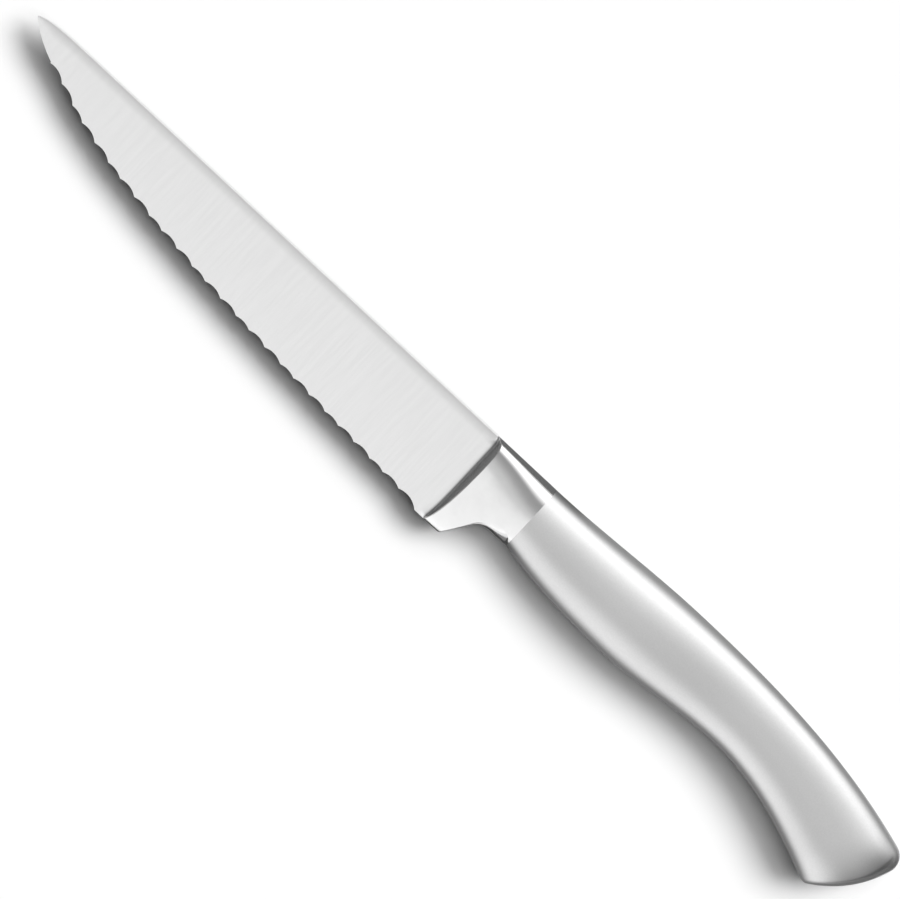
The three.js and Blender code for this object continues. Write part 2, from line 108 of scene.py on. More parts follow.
def add_node(
    tree: bpy.types.NodeTree, kind: str, inputs: dict[str | int, object] | None = None, **settings: object
) -> bpy.types.Node:
    """Add one node to a tree, with its settings and what goes into its sockets.

    Args:
        tree: The tree that gets the node.
        kind: The node type's identifier.
        inputs: A value or an output socket for each input, by the input's name or number.
        settings: The node's own properties.

    Returns:
        The new node.
    """
    node = tree.nodes.new(kind)
    for name, value in settings.items():
        setattr(node, name, value)
    for key, value in (inputs or {}).items():
        if isinstance(value, bpy.types.NodeSocket):
            tree.links.new(value, node.inputs[key])
        else:
            node.inputs[key].default_value = value
    return node


def node_material(name: str) -> tuple[bpy.types.Material, bpy.types.NodeTree]:
    """Make a material with an empty tree.

    Args:
        name: What the material is and how its surface was made.

    Returns:
        The material and its tree.
    """
    made = bpy.data.materials.new(name)
    made.use_nodes = True
    made.node_tree.nodes.clear()
    return made, made.node_tree


def set_stops(ramp: bpy.types.ColorRamp, stops: dict[float, Colour]) -> None:
    """Set all stops of a colour ramp.

    Args:
        ramp: The ramp, which starts with two stops.
        stops: The colour at each place from 0 to 1, in order.
    """
    while len(ramp.elements) < len(stops):
        ramp.elements.new(NEW_STOP)
    for element, (place, colour) in zip(ramp.elements, stops.items()):
        element.position = place
        element.color = colour


def put_in_scene(name: str, data: bpy.types.ID) -> bpy.types.Object:
    """Make an object of a mesh, a lamp or a camera, and put it in the scene.

    Args:
        name: The object's name.
        data: What it shows.

    Returns:
        The object.
    """
    made = bpy.data.objects.new(name, data)
    bpy.context.scene.collection.objects.link(made)
    return made


def on_oval(angle: np.ndarray, squareness: np.ndarray | float) -> tuple[np.ndarray, np.ndarray]:
    """Find where an angle round an oval lies.

    Args:
        angle: Radians from the spine, over the left side.
        squareness: Exponent of the oval: 2 is an ellipse, more is squarer.

    Returns:
        The share of the half depth and the share of the half thickness, each from -1 to 1.
    """
    power = 2 / squareness
    cosine, sine = np.cos(angle), np.sin(angle)
    return np.sign(cosine) * np.abs(cosine) ** power, np.sign(sine) * np.abs(sine) ** power


def smooth_share(value: np.ndarray, low: float, high: float) -> np.ndarray:
    """Ease from 0 at low to 1 at high.

    Args:
        value: Where to read the ease.
        low: Where it starts.
        high: Where it ends.

    Returns:
        The eased share.
    """
    t = np.clip((value - low) / (high - low), 0, 1)
    return t * t * (3 - 2 * t)


def mix(a: np.ndarray | float, b: np.ndarray | float, share: np.ndarray | float) -> np.ndarray | float:
    """Go from a to b by a share."""
    return a + (b - a) * share


def scaled(vectors: np.ndarray, factor: np.ndarray) -> np.ndarray:
    """Multiply each vector by its own number."""
    return vectors * np.asarray(factor)[..., None]


def quadratic(start: np.ndarray, bend: np.ndarray, end: np.ndarray, t: np.ndarray | float) -> np.ndarray:
    """Find points on a curve whose end tangents meet at its bend, at shares of its way."""
    return (1 - t) ** 2 * start + 2 * t * (1 - t) * bend + t**2 * end


@dataclass(frozen=True)
class Rail:
    """A smooth line through stations, each (x, value, slope), that runs straight on past both ends."""

    stations: tuple[tuple[float, float, float], ...]

    def at(self, x: np.ndarray) -> np.ndarray:
        """Read the rail.

        Args:
            x: Places along the rail.

        Returns:
            The rail's value at each place.
        """
        places, values, slopes = np.array(self.stations).T
        k = np.clip(np.searchsorted(places, x, side="right") - 1, 0, len(places) - 2)
        span = places[k + 1] - places[k]
        t = np.clip((x - places[k]) / span, 0, 1)
        pull = slopes[k] * t * (1 - t) ** 2 + slopes[k + 1] * t * t * (t - 1)
        inside = mix(values[k], values[k + 1], t * t * (3 - 2 * t)) + span * pull
        before = slopes[0] * np.minimum(x - places[0], 0)
        after = slopes[-1] * np.maximum(x - places[-1], 0)
        return inside + before + after


class Skin:
    """Patches of points that are sewn into one closed mesh."""

    def __init__(self) -> None:
        """Start with no patches."""
        self.points: list[np.ndarray] = []
        self.faces: list[list[int]] = []
        self.finishes: list[int] = []
        self.count = 0

    def patch(self, grid: np.ndarray, finish: int = 0) -> None:
        """Add a grid of four-sided faces.

        Args:
            grid: Points by row and column.
            finish: Number of the material slot.
        """
        rows, columns = grid.shape[:2]
        start = self._keep(grid.reshape(-1, 3))
        for row in range(rows - 1):
            for column in range(columns - 1):
                corner = start + row * columns + column
                self._face([corner, corner + 1, corner + columns + 1, corner + columns], finish)

    def polygon(self, ring: np.ndarray, finish: int = 0) -> None:
        """Add one face with many corners.

        Args:
            ring: The corners in order.
            finish: Number of the material slot.
        """
        start = self._keep(ring)
        self._face(list(range(start, start + len(ring))), finish)

    def tube(self, rings: list[np.ndarray]) -> None:
        """Add a side that runs over rings, and close it with the first and the last of them.

        Args:
            rings: Rings of points in order, all with the same count.
        """
        self.patch(round_ring(np.array(rings)))
        self.polygon(rings[0])
        self.polygon(rings[-1])

    def wall(self, outer: np.ndarray, inner: np.ndarray) -> None:
        """Add a wall with two faces, closed along its first row and both its side edges.

        Args:
            outer: Points of its outer face by row and column.
            inner: Points of its inner face.
        """
        self.patch(outer)
        self.patch(inner)
        self.patch(np.stack([outer[0], inner[0]]))
        for edge in (0, -1):
            self.patch(np.stack([outer[:, edge], inner[:, edge]]))

    def mesh(self, name: str) -> bpy.types.Mesh:
        """Sew the patches together.

        Args:
            name: The mesh's name.

        Returns:
            A closed mesh, in millimetres, whose faces point outwards.
        """
        mesh = bpy.data.meshes.new(name)
        mesh.from_pydata(np.concatenate(self.points).tolist(), [], self.faces)
        mesh.polygons.foreach_set("material_index", self.finishes)
        work = bmesh.new()
        work.from_mesh(mesh)
        bmesh.ops.remove_doubles(work, verts=work.verts, dist=MERGE_DISTANCE)
        bmesh.ops.dissolve_degenerate(work, edges=work.edges, dist=MERGE_DISTANCE)
        bmesh.ops.recalc_face_normals(work, faces=work.faces)
        work.to_mesh(mesh)
        work.free()
        return mesh

    def _keep(self, points: np.ndarray) -> int:
        """Store points.

        Args:
            points: The points, one per row.

        Returns:
            The number of the first one.
        """
        start = self.count
        self.points.append(np.asarray(points, float))
        self.count += len(points)
        return start

    def _face(self, corners: list[int], finish: int) -> None:
        """Store one face with its finish."""
        self.faces.append(corners)
        self.finishes.append(finish)


def round_ring(grid: np.ndarray) -> np.ndarray:
    """Repeat a grid's first column after its last, so that its rows close."""
    return np.concatenate([grid, grid[:, :1]], axis=1)


@dataclass(frozen=True)
class KnifeFrame:
    """Where the drawing frame lies in the shared frame."""

    blade_length: float

    def to_shared(self) -> Matrix:
        """Find the change from drawing millimetres to shared metres.

        Returns:
            The matrix that carries a drawn mesh to its place.
        """
        low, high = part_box("blade_with_bolster")
        origin = Vector((low.x + self.blade_length * MM, high.y, (low.z + high.z) / 2))
        return Matrix.Translation(origin) @ Matrix.Scale(MM, 4)

    def place(self, mesh: bpy.types.Mesh, name: str, node: str, slot: str) -> bpy.types.Object:
        """Turn a drawn mesh into a finished piece that stands for a solid.

        Args:
            mesh: The piece's mesh, in drawing millimetres.
            name: The piece's name.
            node: The solid that it stands for.
            slot: The record's material slot; not used.

        Returns:
            The piece, at the origin, with its place in its mesh.
        """
        mesh.transform(self.to_shared())
        mesh.polygons.foreach_set("use_smooth", [True] * len(mesh.polygons))
        mesh.set_sharp_from_angle(angle=SHARP_ANGLE)
        piece = put_in_scene(name, mesh)
        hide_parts(node)
        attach(piece, BODY)
        triangles = sum(len(face.vertices) - 2 for face in mesh.polygons)
        LOG.info("%s stands for %s: %d triangles", name, node, triangles)
        return piece


@dataclass(frozen=True)
class Steel:
    """A stainless steel surface: bare metal whose scratches or grain give it its gloss."""

    name: str
    light: str  # sRGB of the metal on the ridges between scratches
    dark: str  # and in the scratches
    roughness: float
    roughness_spread: float
    grain: float  # mm, across a scratch or a blast mark
    bump: float  # mm, height of the grain
    grind: Grind = Grind.NONE
    streak: float = 24.0  # how many times longer than wide a scratch is
    octaves: float = 3.0  # finer layers of the grain
    octave_share: float = 0.6  # strength of each layer beside the one before

    def material(self) -> bpy.types.Material:
        """Build the finish.

        Returns:
            Its material.
        """
        made, tree = node_material(self.name)
        fine = 1 / (self.grain * MM)
        coarse = fine / self.streak
        stretch = {
            Grind.ACROSS: (fine, coarse, fine),
            Grind.ALONG: (coarse, fine, fine),
            Grind.NONE: (fine, fine, fine),
        }[self.grind]
        place = add_node(tree, "ShaderNodeTexCoord")
        lines = add_node(tree, "ShaderNodeMapping", {"Vector": place.outputs["Object"], "Scale": stretch})
        grain = add_node(
            tree,
            "ShaderNodeTexNoise",
            {
                "Vector": lines.outputs[0],
                "Scale": 1.0,
                "Detail": self.octaves,
                "Roughness": self.octave_share,
            },
        )
        colour = add_node(tree, "ShaderNodeValToRGB", {"Fac": grain.outputs[0]})
        set_stops(colour.color_ramp, dict(zip(SHADE_STOPS, (linear(self.dark), linear(self.light)))))
        gloss = add_node(
            tree,
            "ShaderNodeMapRange",
            {
                "Value": grain.outputs[0],
                "From Min": GLOSS_STOPS[0],
                "From Max": GLOSS_STOPS[1],
                "To Min": self.roughness + self.roughness_spread / 2,
                "To Max": self.roughness - self.roughness_spread / 2,
            },
        )
        relief = add_node(
            tree, "ShaderNodeBump", {"Height": grain.outputs[0], "Strength": 1.0, "Distance": self.bump * MM}
        )
        shader = add_node(
            tree,
            "ShaderNodeBsdfPrincipled",
            {
                "Base Color": colour.outputs[0],
                "Metallic": 1.0,
                "Roughness": gloss.outputs[0],
                "Normal": relief.outputs[0],
            },
        )
        add_node(tree, "ShaderNodeOutputMaterial", {"Surface": shader.outputs[0]})
        return made


@dataclass(frozen=True)
class Filler:
    """Mineral-filled epoxy cement, cast in place: matt, stony grey, with the filler's grain."""

    name: str = "mineral filled epoxy, cast"
    light: str = "a8a29a"
    dark: str = "8f8a80"
    grain: float = 0.8  # mm, the coarsest filler
    octaves: float = 4.0  # finer layers of the grain
    relief_share: float = 0.125  # height of a grain beside its width
    roughness: float = 0.85

    def material(self) -> bpy.types.Material:
        """Build the finish.

        Returns:
            Its material.
        """
        made, tree = node_material(self.name)
        place = add_node(tree, "ShaderNodeTexCoord")
        grain = add_node(
            tree,
            "ShaderNodeTexNoise",
            {"Vector": place.outputs["Object"], "Scale": 1 / (self.grain * MM), "Detail": self.octaves},
        )
        colour = add_node(tree, "ShaderNodeValToRGB", {"Fac": grain.outputs[0]})
        set_stops(colour.color_ramp, dict(zip(SHADE_STOPS, (linear(self.dark), linear(self.light)))))
        height = self.grain * MM * self.relief_share
        relief = add_node(tree, "ShaderNodeBump", {"Height": grain.outputs[0], "Distance": height})
        shader = add_node(
            tree,
            "ShaderNodeBsdfPrincipled",
            {"Base Color": colour.outputs[0], "Roughness": self.roughness, "Normal": relief.outputs[0]},
        )
        add_node(tree, "ShaderNodeOutputMaterial", {"Surface": shader.outputs[0]})
        return made


# Belt-ground martensitic stainless: a pale, even sheen with faint lines from spine to edge. The real
# scratches are about 0.03 mm wide, so they are drawn coarser here to show at all.
GROUND_BLADE = Steel(
    name="martensitic stainless, belt ground",
    light="f5f5f5",
    dark="f3f3f3",
    roughness=0.26,
    roughness_spread=0.02,
    grain=0.55,
    bump=0.00004,
    grind=Grind.ACROSS,
)
# The scallops are cut by a fine wheel, which leaves them a little darker and glossier than the blade.
WHEEL_GROUND = Steel(
    name="martensitic stainless, wheel ground",
    light="e5e5e5",
    dark="d7d7d7",
    roughness=0.24,
    roughness_spread=0.08,
    grain=0.3,
    bump=0.0008,
    grind=Grind.ACROSS,
)
# The bolster is buffed bright: it mirrors the room, with a slight haze from the mop.
BUFFED_BOLSTER = Steel(
    name="martensitic stainless, buffed",
    light="e6e6e6",
    dark="e3e3e3",
    roughness=0.16,
    roughness_spread=0.03,
    grain=2.5,
    bump=0.0,
)
# The tang and its spigot are left as they come from the forge and the linisher.
FORGED_TANG = Steel(
    name="martensitic stainless, forged and linished",
    light="b9b8b6",
    dark="8e8d8b",
    roughness=0.5,
    roughness_spread=0.2,
    grain=0.7,
    bump=0.01,
    grind=Grind.ALONG,
)
# The shells are pressed from sheet and blasted to a fine satin, which spreads every highlight. The marks of
# the beads are about 0.05 mm, so they are drawn coarser here to show at all.
SATIN_SHELL = Steel(
    name="austenitic stainless sheet, bead blasted satin",
    light="bbbbbb",
    dark="b7b7b7",
    roughness=0.41,
    roughness_spread=0.04,
    grain=0.3,
    bump=0.0008,
)
# The seam weld is dressed flush along its length before the satin blast, so faint lines are left in it.
DRESSED_WELD = Steel(
    name="austenitic stainless weld, dressed and satin blasted",
    light="cacaca",
    dark="c5c5c5",
    roughness=0.5,
    roughness_spread=0.06,
    grain=0.3,
    bump=0.001,
    grind=Grind.ALONG,
)


@dataclass(frozen=True)
class Neck:
    """The oval where the bolster meets the handle."""

    joint: float = 15.3  # from the blade
    depth: float = 14.46
    thickness: float = 12.0
    squareness: float = 2.4


@dataclass(frozen=True)
class Blade:
    """The blade: a wedge-ground blank whose edge is cut into scallops from the right side."""

    length: float = 120.2
    depth: float = 21.5
    spine_thickness: float = 2.2
    point_thickness: float = 1.05
    edge_thickness: float = 0.3
    edge_stock: float = 0.6
    point_drop: float = 1.25
    point_curve_length: float = 10.2
    point_curve_fullness: float = 1.9
    point_edge_length: float = 7.8
    point_edge_bulge: float = 0.45
    first_tooth_depth: float = 6.3
    lead_length: float = 11.1
    lead_drop: float = 2.9
    trail_length: float = 94.6
    trail_rise: float = 4.65
    row_end_from_bolster: float = 7.4
    row_end_depth: float = 20.55
    heel_edge_length: float = 2.3
    root_length: float = 2.9
    root_cover: float = 1.1
    scallop_widths: tuple[float, float, float] = (4.64, 4.69, 3.93)
    scallop_narrowing: float = 0.06
    scallop_radius: float = 4.1
    grind_angle: float = 20.0
    spine_corner: float = 0.28  # rounding of the spine's two edges
    spine_ease: float = 0.1  # how far the sides fall away towards the spine
    spine_ease_depth: float = 2.4  # over this depth
    station_step: float = 0.9
    point_stations: int = 40
    point_crowding: float = 1.5  # how much closer these stand at the point
    bend_points: int = 80
    corner_points: int = 10
    ease_points: int = 12
    plain_start: float = 1.1  # where the plain side starts, in depths of the ease
    cutter_points: int = 40
    wheel_facets: int = 384

    @property
    def point(self) -> np.ndarray:
        """The blade's point."""
        return np.array([-self.length, -self.point_drop])

    @property
    def first_tooth(self) -> np.ndarray:
        """The tooth that ends the plain edge at the point."""
        return np.array([self.point_edge_length - self.length, -self.first_tooth_depth])

    @property
    def row_end(self) -> np.ndarray:
        """The last tooth of the even row."""
        return np.array([-self.row_end_from_bolster, -self.row_end_depth])

    @property
    def last_tooth(self) -> np.ndarray:
        """The tooth before the plain heel."""
        return np.array([-self.heel_edge_length, -self.depth])

    @property
    def lead(self) -> np.ndarray:
        """The edge curve's handle at the first tooth."""
        return self.first_tooth + [self.lead_length, -self.lead_drop]

    @property
    def trail(self) -> np.ndarray:
        """The edge curve's handle at the end of the row."""
        return self.row_end + [-self.trail_length, self.trail_rise]

    def edge_points(self, count: int = 600) -> np.ndarray:
        """Sample the curve that all teeth of the row touch.

        Args:
            count: How many points to return.

        Returns:
            The points, one per row, from the first tooth to the row's end.
        """
        t = np.linspace(0, 1, count)[:, None]
        return (
            (1 - t) ** 3 * self.first_tooth
            + 3 * t * (1 - t) ** 2 * self.lead
            + 3 * t**2 * (1 - t) * self.trail
            + t**3 * self.row_end
        )

    def thinning(self) -> tuple[float, float]:
        """Find how fast each side nears the blade's middle plane.

        Returns:
            Half thickness gained per millimetre along x and along y.
        """
        edge = self.edge_points()
        run = np.concatenate([[0], np.cumsum(np.linalg.norm(np.diff(edge, axis=0), axis=1))])
        x, y = (np.interp(run[-1] / 2, run, edge[:, axis]) for axis in (0, 1))
        along = (self.spine_thickness - self.point_thickness) / 2 / self.length
        down = (self.spine_thickness / 2 + along * x - self.edge_thickness / 2) / -y
        return along, down

    def half_thickness(self, x: np.ndarray, y: np.ndarray) -> np.ndarray:
        """Half the blade's thickness over a place in its outline."""
        along, down = self.thinning()
        return self.spine_thickness / 2 + along * x + down * y

    def spine_line(self, x: np.ndarray) -> np.ndarray:
        """Find the height of the spine, which bends down to the point.

        Args:
            x: Places along the blade.

        Returns:
            The height at each place.
        """
        bend = np.array([self.point_curve_fullness - self.length, 0])
        straight = np.array([self.point_curve_length - self.length, 0])
        curve = quadratic(self.point, bend, straight, np.linspace(0, 1, self.bend_points)[:, None])
        return np.interp(x, curve[:, 0], curve[:, 1])

    def stock_line(self, x: np.ndarray) -> np.ndarray:
        """Find the lower outline of the blank, with the stock that the wheel takes off.

        Args:
            x: Places along the blade.

        Returns:
            The outline's height at each place.
        """
        spare = np.array([0, -self.edge_stock])
        heel = [self.last_tooth, [0, -self.depth]]
        line = np.vstack([self.point + spare, self.edge_points() + spare, heel])
        return np.interp(x, line[:, 0], line[:, 1])

    def section(self, x: float, top: float, bottom: float) -> np.ndarray:
        """Draw the blank's section across one place.

        Args:
            x: Where the section lies.
            top: Height of the spine there.
            bottom: Height of the lower edge there.

        Returns:
            The section's points, from the spine down the left side and up the right one.
        """
        scale = min(1.0, (top - bottom) / (2 * self.spine_ease_depth))
        corner = self.spine_corner * scale
        ease_depth = self.spine_ease_depth * scale
        turn = np.linspace(math.pi / 2, 0, self.corner_points)
        eased = np.linspace(corner, ease_depth, self.ease_points)[1:]
        plain = [ease_depth * self.plain_start, top - bottom]
        down = np.concatenate([corner * (1 - np.sin(turn)), eased, plain])
        side = self.half_thickness(x, top - np.maximum(down, corner))
        side -= self.spine_ease * scale * np.clip(1 - np.maximum(down, corner) / ease_depth, 0, 1) ** 2
        side[: len(turn)] -= corner * (1 - np.cos(turn))
        left = np.stack([np.full_like(down, x), top - down, side], axis=-1)
        ridge = np.array([[x, top, 0.0]])
        return np.vstack([ridge, left, left[::-1] * [1, 1, -1]])

    def blank(self) -> bpy.types.Mesh:
        """Build the forged blank before its edge is cut.

        Returns:
            The blank's mesh.
        """
        tip = self.point_curve_length - self.length
        share = np.linspace(0, 1, self.point_stations) ** self.point_crowding
        fine = -self.length + share * (tip + self.length)
        even = np.linspace(tip, 0, round(-tip / self.station_step))
        places = np.concatenate([fine, even[1:]])
        rings = [self.section(x, self.spine_line(x), self.stock_line(x)) for x in places]
        for x in (0.0, self.root_length):
            rings.append(self.section(x, -self.root_cover, self.root_cover - self.depth))
        skin = Skin()
        skin.tube(rings)
        return skin.mesh("blade blank")

    def point_cutter(self) -> bpy.types.Mesh:
        """Build the swept profile that leaves the plain, slightly full edge at the point.

        Returns:
            The cutter's mesh.
        """
        angle = math.radians(self.grind_angle)
        sine, cosine = math.sin(angle), math.cos(angle)
        span = self.first_tooth - self.point
        width = float(np.linalg.norm(span))
        along = np.array([*span / width, 0.0])
        outward = np.cross(along, UP)
        path = -outward * cosine - UP * sine
        away = outward * sine - UP * cosine
        bulge = self.point_edge_bulge * sine
        radius = ((width / 2) ** 2 + bulge**2) / (2 * bulge)
        arc = np.linspace(-1, 1, self.cutter_points) * math.asin(width / 2 / radius)
        profile = np.stack([radius * np.sin(arc), radius * np.cos(arc) + bulge - radius], axis=-1)
        profile = np.vstack([[-width, 0], profile, [width / 2, width], [-width, width]])
        middle = (self.point + self.first_tooth) / 2
        centre = np.array([*middle, self.half_thickness(*middle)])
        reach = self.spine_thickness / sine
        flat = centre + scaled(along[None], profile[:, 0]) + scaled(away[None], profile[:, 1])
        skin = Skin()
        skin.tube([flat - path * reach, flat + path * reach])
        return skin.mesh("point cutter")


@dataclass(frozen=True)
class Bolster:
    """The bolster, its spigot and the stub tang: one body that the blade grows out of."""

    blade: Blade
    neck: Neck
    thickness: float = 11.0  # across the front
    front_face_angle: float = 72.8
    front_setback: float = 0.6  # of the front face's foot, behind the blade's end
    setback_depth: float = 1.2  # below the spine, where it has all of that
    front_curl: float = 0.57  # how far that foot comes forward at the heel
    curl_power: int = 4  # how late it does
    heel_length: float = 4.0
    guard_angle: float = 55.0
    heel_radius: float = 0.8
    finger_radius: float = 4.0
    guard_stock: float = 0.2  # taken off under the heel when the guard's outline is cut
    guard_edge: float = 0.3  # rounding along that cut
    neck_edge: float = 2.4  # and at the joint
    edge_most: float = 0.97  # share of the underside that it takes at most
    stock_end: float = 16.3  # where nothing more would be cut off, behind the joint
    front_widest_depth: float = 5.5  # from the spine to the widest line, at the front
    front_spine_squareness: float = 3.8
    front_heel_squareness: float = 1.6
    front_relief: float = 0.6  # share by which the front face is steeper at the spine
    front_relief_depth: float = 0.95  # how soon that fades below the spine
    front_edge_round: float = 0.22  # where the buff breaks the front face's edge
    fillet_lead: float = 2.4  # hollow between blade and front face: along the blade
    fillet_rise: float = 0.5  # and up the face
    fillet_fade: float = 2.5  # from the spine down to its full length along the blade
    fillet_lap: float = 0.1  # at least this far over the blade's end
    fillet_sink: float = 0.02  # how far its foot lies under the blade's side
    side_share: float = 0.84  # of a half ring's columns, from the spine to the cut
    edge_share: float = 0.07  # on the rounding of the cut
    side_columns: int = 96
    edge_columns: int = 10
    under_columns: int = 10
    rows: int = 200
    round_rows: int = 5
    fillet_rows: int = 15
    probe: float = 1.0  # degrees of the oval over which its length is read
    settle_steps: int = 30  # rounds until the front face's line stands still

    def low(self, x: np.ndarray) -> np.ndarray:
        """Height of the underside: flat heel, slanted guard, and the hollow for the finger.

        Args:
            x: Places along the bolster.

        Returns:
            The underside's height at each place.
        """
        turn = math.radians(self.guard_angle)
        rise = self.blade.depth - self.neck.depth
        heel_run = self.heel_radius * math.tan(turn / 2)
        finger_run = self.finger_radius * math.tan(turn / 2)
        guard_end = self.heel_length + rise / math.tan(turn)
        heel_x = self.heel_length - heel_run
        finger_x = guard_end + finger_run
        heel_arc = np.sqrt(np.maximum(0, self.heel_radius**2 - (x - heel_x) ** 2))
        finger_arc = np.sqrt(np.maximum(0, self.finger_radius**2 - (x - finger_x) ** 2))
        return np.select(
            [
                x <= heel_x,
                x <= self.heel_length + heel_run * math.cos(turn),
                x <= guard_end - finger_run * math.cos(turn),
                x <= finger_x,
            ],
            [
                -self.blade.depth,
                self.heel_radius - self.blade.depth - heel_arc,
                (x - self.heel_length) * math.tan(turn) - self.blade.depth,
                finger_arc - self.finger_radius - self.neck.depth,
            ],
            -self.neck.depth,
        )

    def stock_low(self, x: np.ndarray) -> np.ndarray:
        """Height of the ovals' lowest points, before the guard's outline is cut."""
        rise = smooth_share(x, self.heel_length, self.stock_end)
        return -mix(self.blade.depth + self.guard_stock, self.neck.depth, rise)

    def widest(self, x: np.ndarray) -> np.ndarray:
        """Height of the ovals' widest points."""
        return -mix(self.front_widest_depth, self.neck.depth / 2, smooth_share(x, 0, self.neck.joint))

    def squareness(self, x: np.ndarray, front: np.ndarray | float) -> np.ndarray:
        """Exponent of the ovals, from the front's own one to the neck's."""
        return mix(front, self.neck.squareness, smooth_share(x, 0, self.neck.joint))

    def oval(self, x: np.ndarray, angle: np.ndarray) -> np.ndarray:
        """Find points on the bolster before the guard's outline is cut.

        Args:
            x: Places along the bolster.
            angle: Angles round its oval.

        Returns:
            One point for each pair.
        """
        upper = np.cos(angle) > 0
        front = np.where(upper, self.front_spine_squareness, self.front_heel_squareness)
        deep, across = on_oval(angle, self.squareness(x, front))
        widest = self.widest(x)
        reach = np.where(upper, -widest, widest - self.stock_low(x))
        half = mix(self.thickness, self.neck.thickness, smooth_share(x, 0, self.neck.joint)) / 2
        return np.stack([x, widest + reach * deep, half * across], axis=-1)

    def cut_angle(self, x: np.ndarray) -> np.ndarray:
        """Find the angle at which the guard's outline cuts the left side of the ovals.

        Args:
            x: Places along the bolster.

        Returns:
            The angle at each place.
        """
        share = (self.widest(x) - self.low(x)) / (self.widest(x) - self.stock_low(x))
        power = self.squareness(x, self.front_heel_squareness) / 2
        return math.pi - np.arccos(np.clip(share, 0, 1) ** power)

    def surface(self, x: np.ndarray, ring: np.ndarray) -> np.ndarray:
        """Find points on the bolster's side and underside.

        Args:
            x: Places along the bolster.
            ring: Places round it: 0 at the spine, to 1 at the belly by the left side, to 2 by the right one.

        Returns:
            One point for each pair.
        """
        down = 1 - np.abs(1 - ring)
        step = math.radians(self.probe)
        cut = self.cut_angle(x)
        corner = self.oval(x, cut)
        speed = np.linalg.norm(corner - self.oval(x, cut - step), axis=-1) / step
        rounding = mix(self.guard_edge, self.neck_edge, smooth_share(x, self.heel_length, self.neck.joint))
        ease = np.minimum(rounding, self.edge_most * corner[..., 2])
        start = cut - ease / speed
        side = self.oval(x, start * np.clip(down / self.side_share, 0, 1))
        flat = corner - scaled(UP, ease)
        turn = np.clip((down - self.side_share) / self.edge_share, 0, 1)
        edge = quadratic(self.oval(x, start), corner, flat, turn[..., None])
        edge_end = self.side_share + self.edge_share
        under = scaled(flat, np.ones_like(x))
        under[..., 2] *= np.clip((1 - down) / (1 - edge_end), 0, 1)
        rim = np.where((down <= edge_end)[..., None], edge, under)
        point = np.where((down <= self.side_share)[..., None], side, rim)
        point[..., 2] *= np.where(ring <= 1, 1, -1)
        return point

    def ring_places(self) -> np.ndarray:
        """List the columns of a ring, closest together along the cut.

        Returns:
            Places round the bolster, each from 0 up to 2.
        """
        edge_end = self.side_share + self.edge_share
        left = np.concatenate(
            [
                np.linspace(0, self.side_share, self.side_columns, endpoint=False),
                np.linspace(self.side_share, edge_end, self.edge_columns, endpoint=False),
                np.linspace(edge_end, 1, self.under_columns),
            ]
        )
        return np.concatenate([left, 2 - left[-2:0:-1]])

    def front_run(self, y: np.ndarray) -> np.ndarray:
        """How far the front face runs back for each millimetre that it rises from the blade."""
        relief = self.front_relief * np.exp(y / self.front_relief_depth)
        return (1 - relief) / math.tan(math.radians(self.front_face_angle))

    def front_foot(self, y: np.ndarray) -> np.ndarray:
        """Find the place of the front face's foot on the blade.

        Args:
            y: Heights on the blade.

        Returns:
            How far behind the blade's end it lies at each height.
        """
        below = np.maximum(0, -2 * y / self.blade.depth - 1)
        setback = self.front_setback * smooth_share(-y, 0, self.setback_depth)
        return setback - self.front_curl * below**self.curl_power

    def front(self, ring: np.ndarray) -> np.ndarray:
        """Find where the sloping front faces cut the bolster's side.

        Args:
            ring: Places round the bolster.

        Returns:
            The points of the cut.
        """
        x = np.zeros_like(ring)
        for _ in range(self.settle_steps):
            _, y, z = self.surface(x, ring).T
            x = self.front_foot(y) + (np.abs(z) - self.blade.half_thickness(0, y)) * self.front_run(y)
        return self.surface(x, ring)

    def fillet(self, rim: np.ndarray) -> list[np.ndarray]:
        """Draw the rows from inside the blade, along its side and up a hollow, to the front face.

        Args:
            rim: Where the front face ends on the bolster's side.

        Returns:
            The rows in order, each with one point per point of the rim.
        """
        _, y, z = rim.T
        run = self.front_run(y)
        flat = self.blade.half_thickness(0, y)
        foot = np.minimum(flat - self.fillet_sink, np.abs(z))
        corner_x = self.front_foot(y) + (foot - flat) * run
        slant = np.hypot(run, 1)
        rise = np.minimum(self.fillet_rise, (np.abs(z) - foot) * slant / 2)
        lead = self.fillet_lead * rise / self.fillet_rise * smooth_share(-y, 0, self.fillet_fade)
        lead = np.maximum(lead, corner_x + self.fillet_lap)
        rows = [np.stack([corner_x - lead, y, 0 * z], axis=-1)]
        for t in np.linspace(0, 1, self.fillet_rows):
            along = corner_x - lead * (1 - t) ** 2 + rise * run / slant * t**2
            height = foot + rise / slant * t**2
            rows.append(np.stack([along, y, height * np.sign(z)], axis=-1))
        return rows

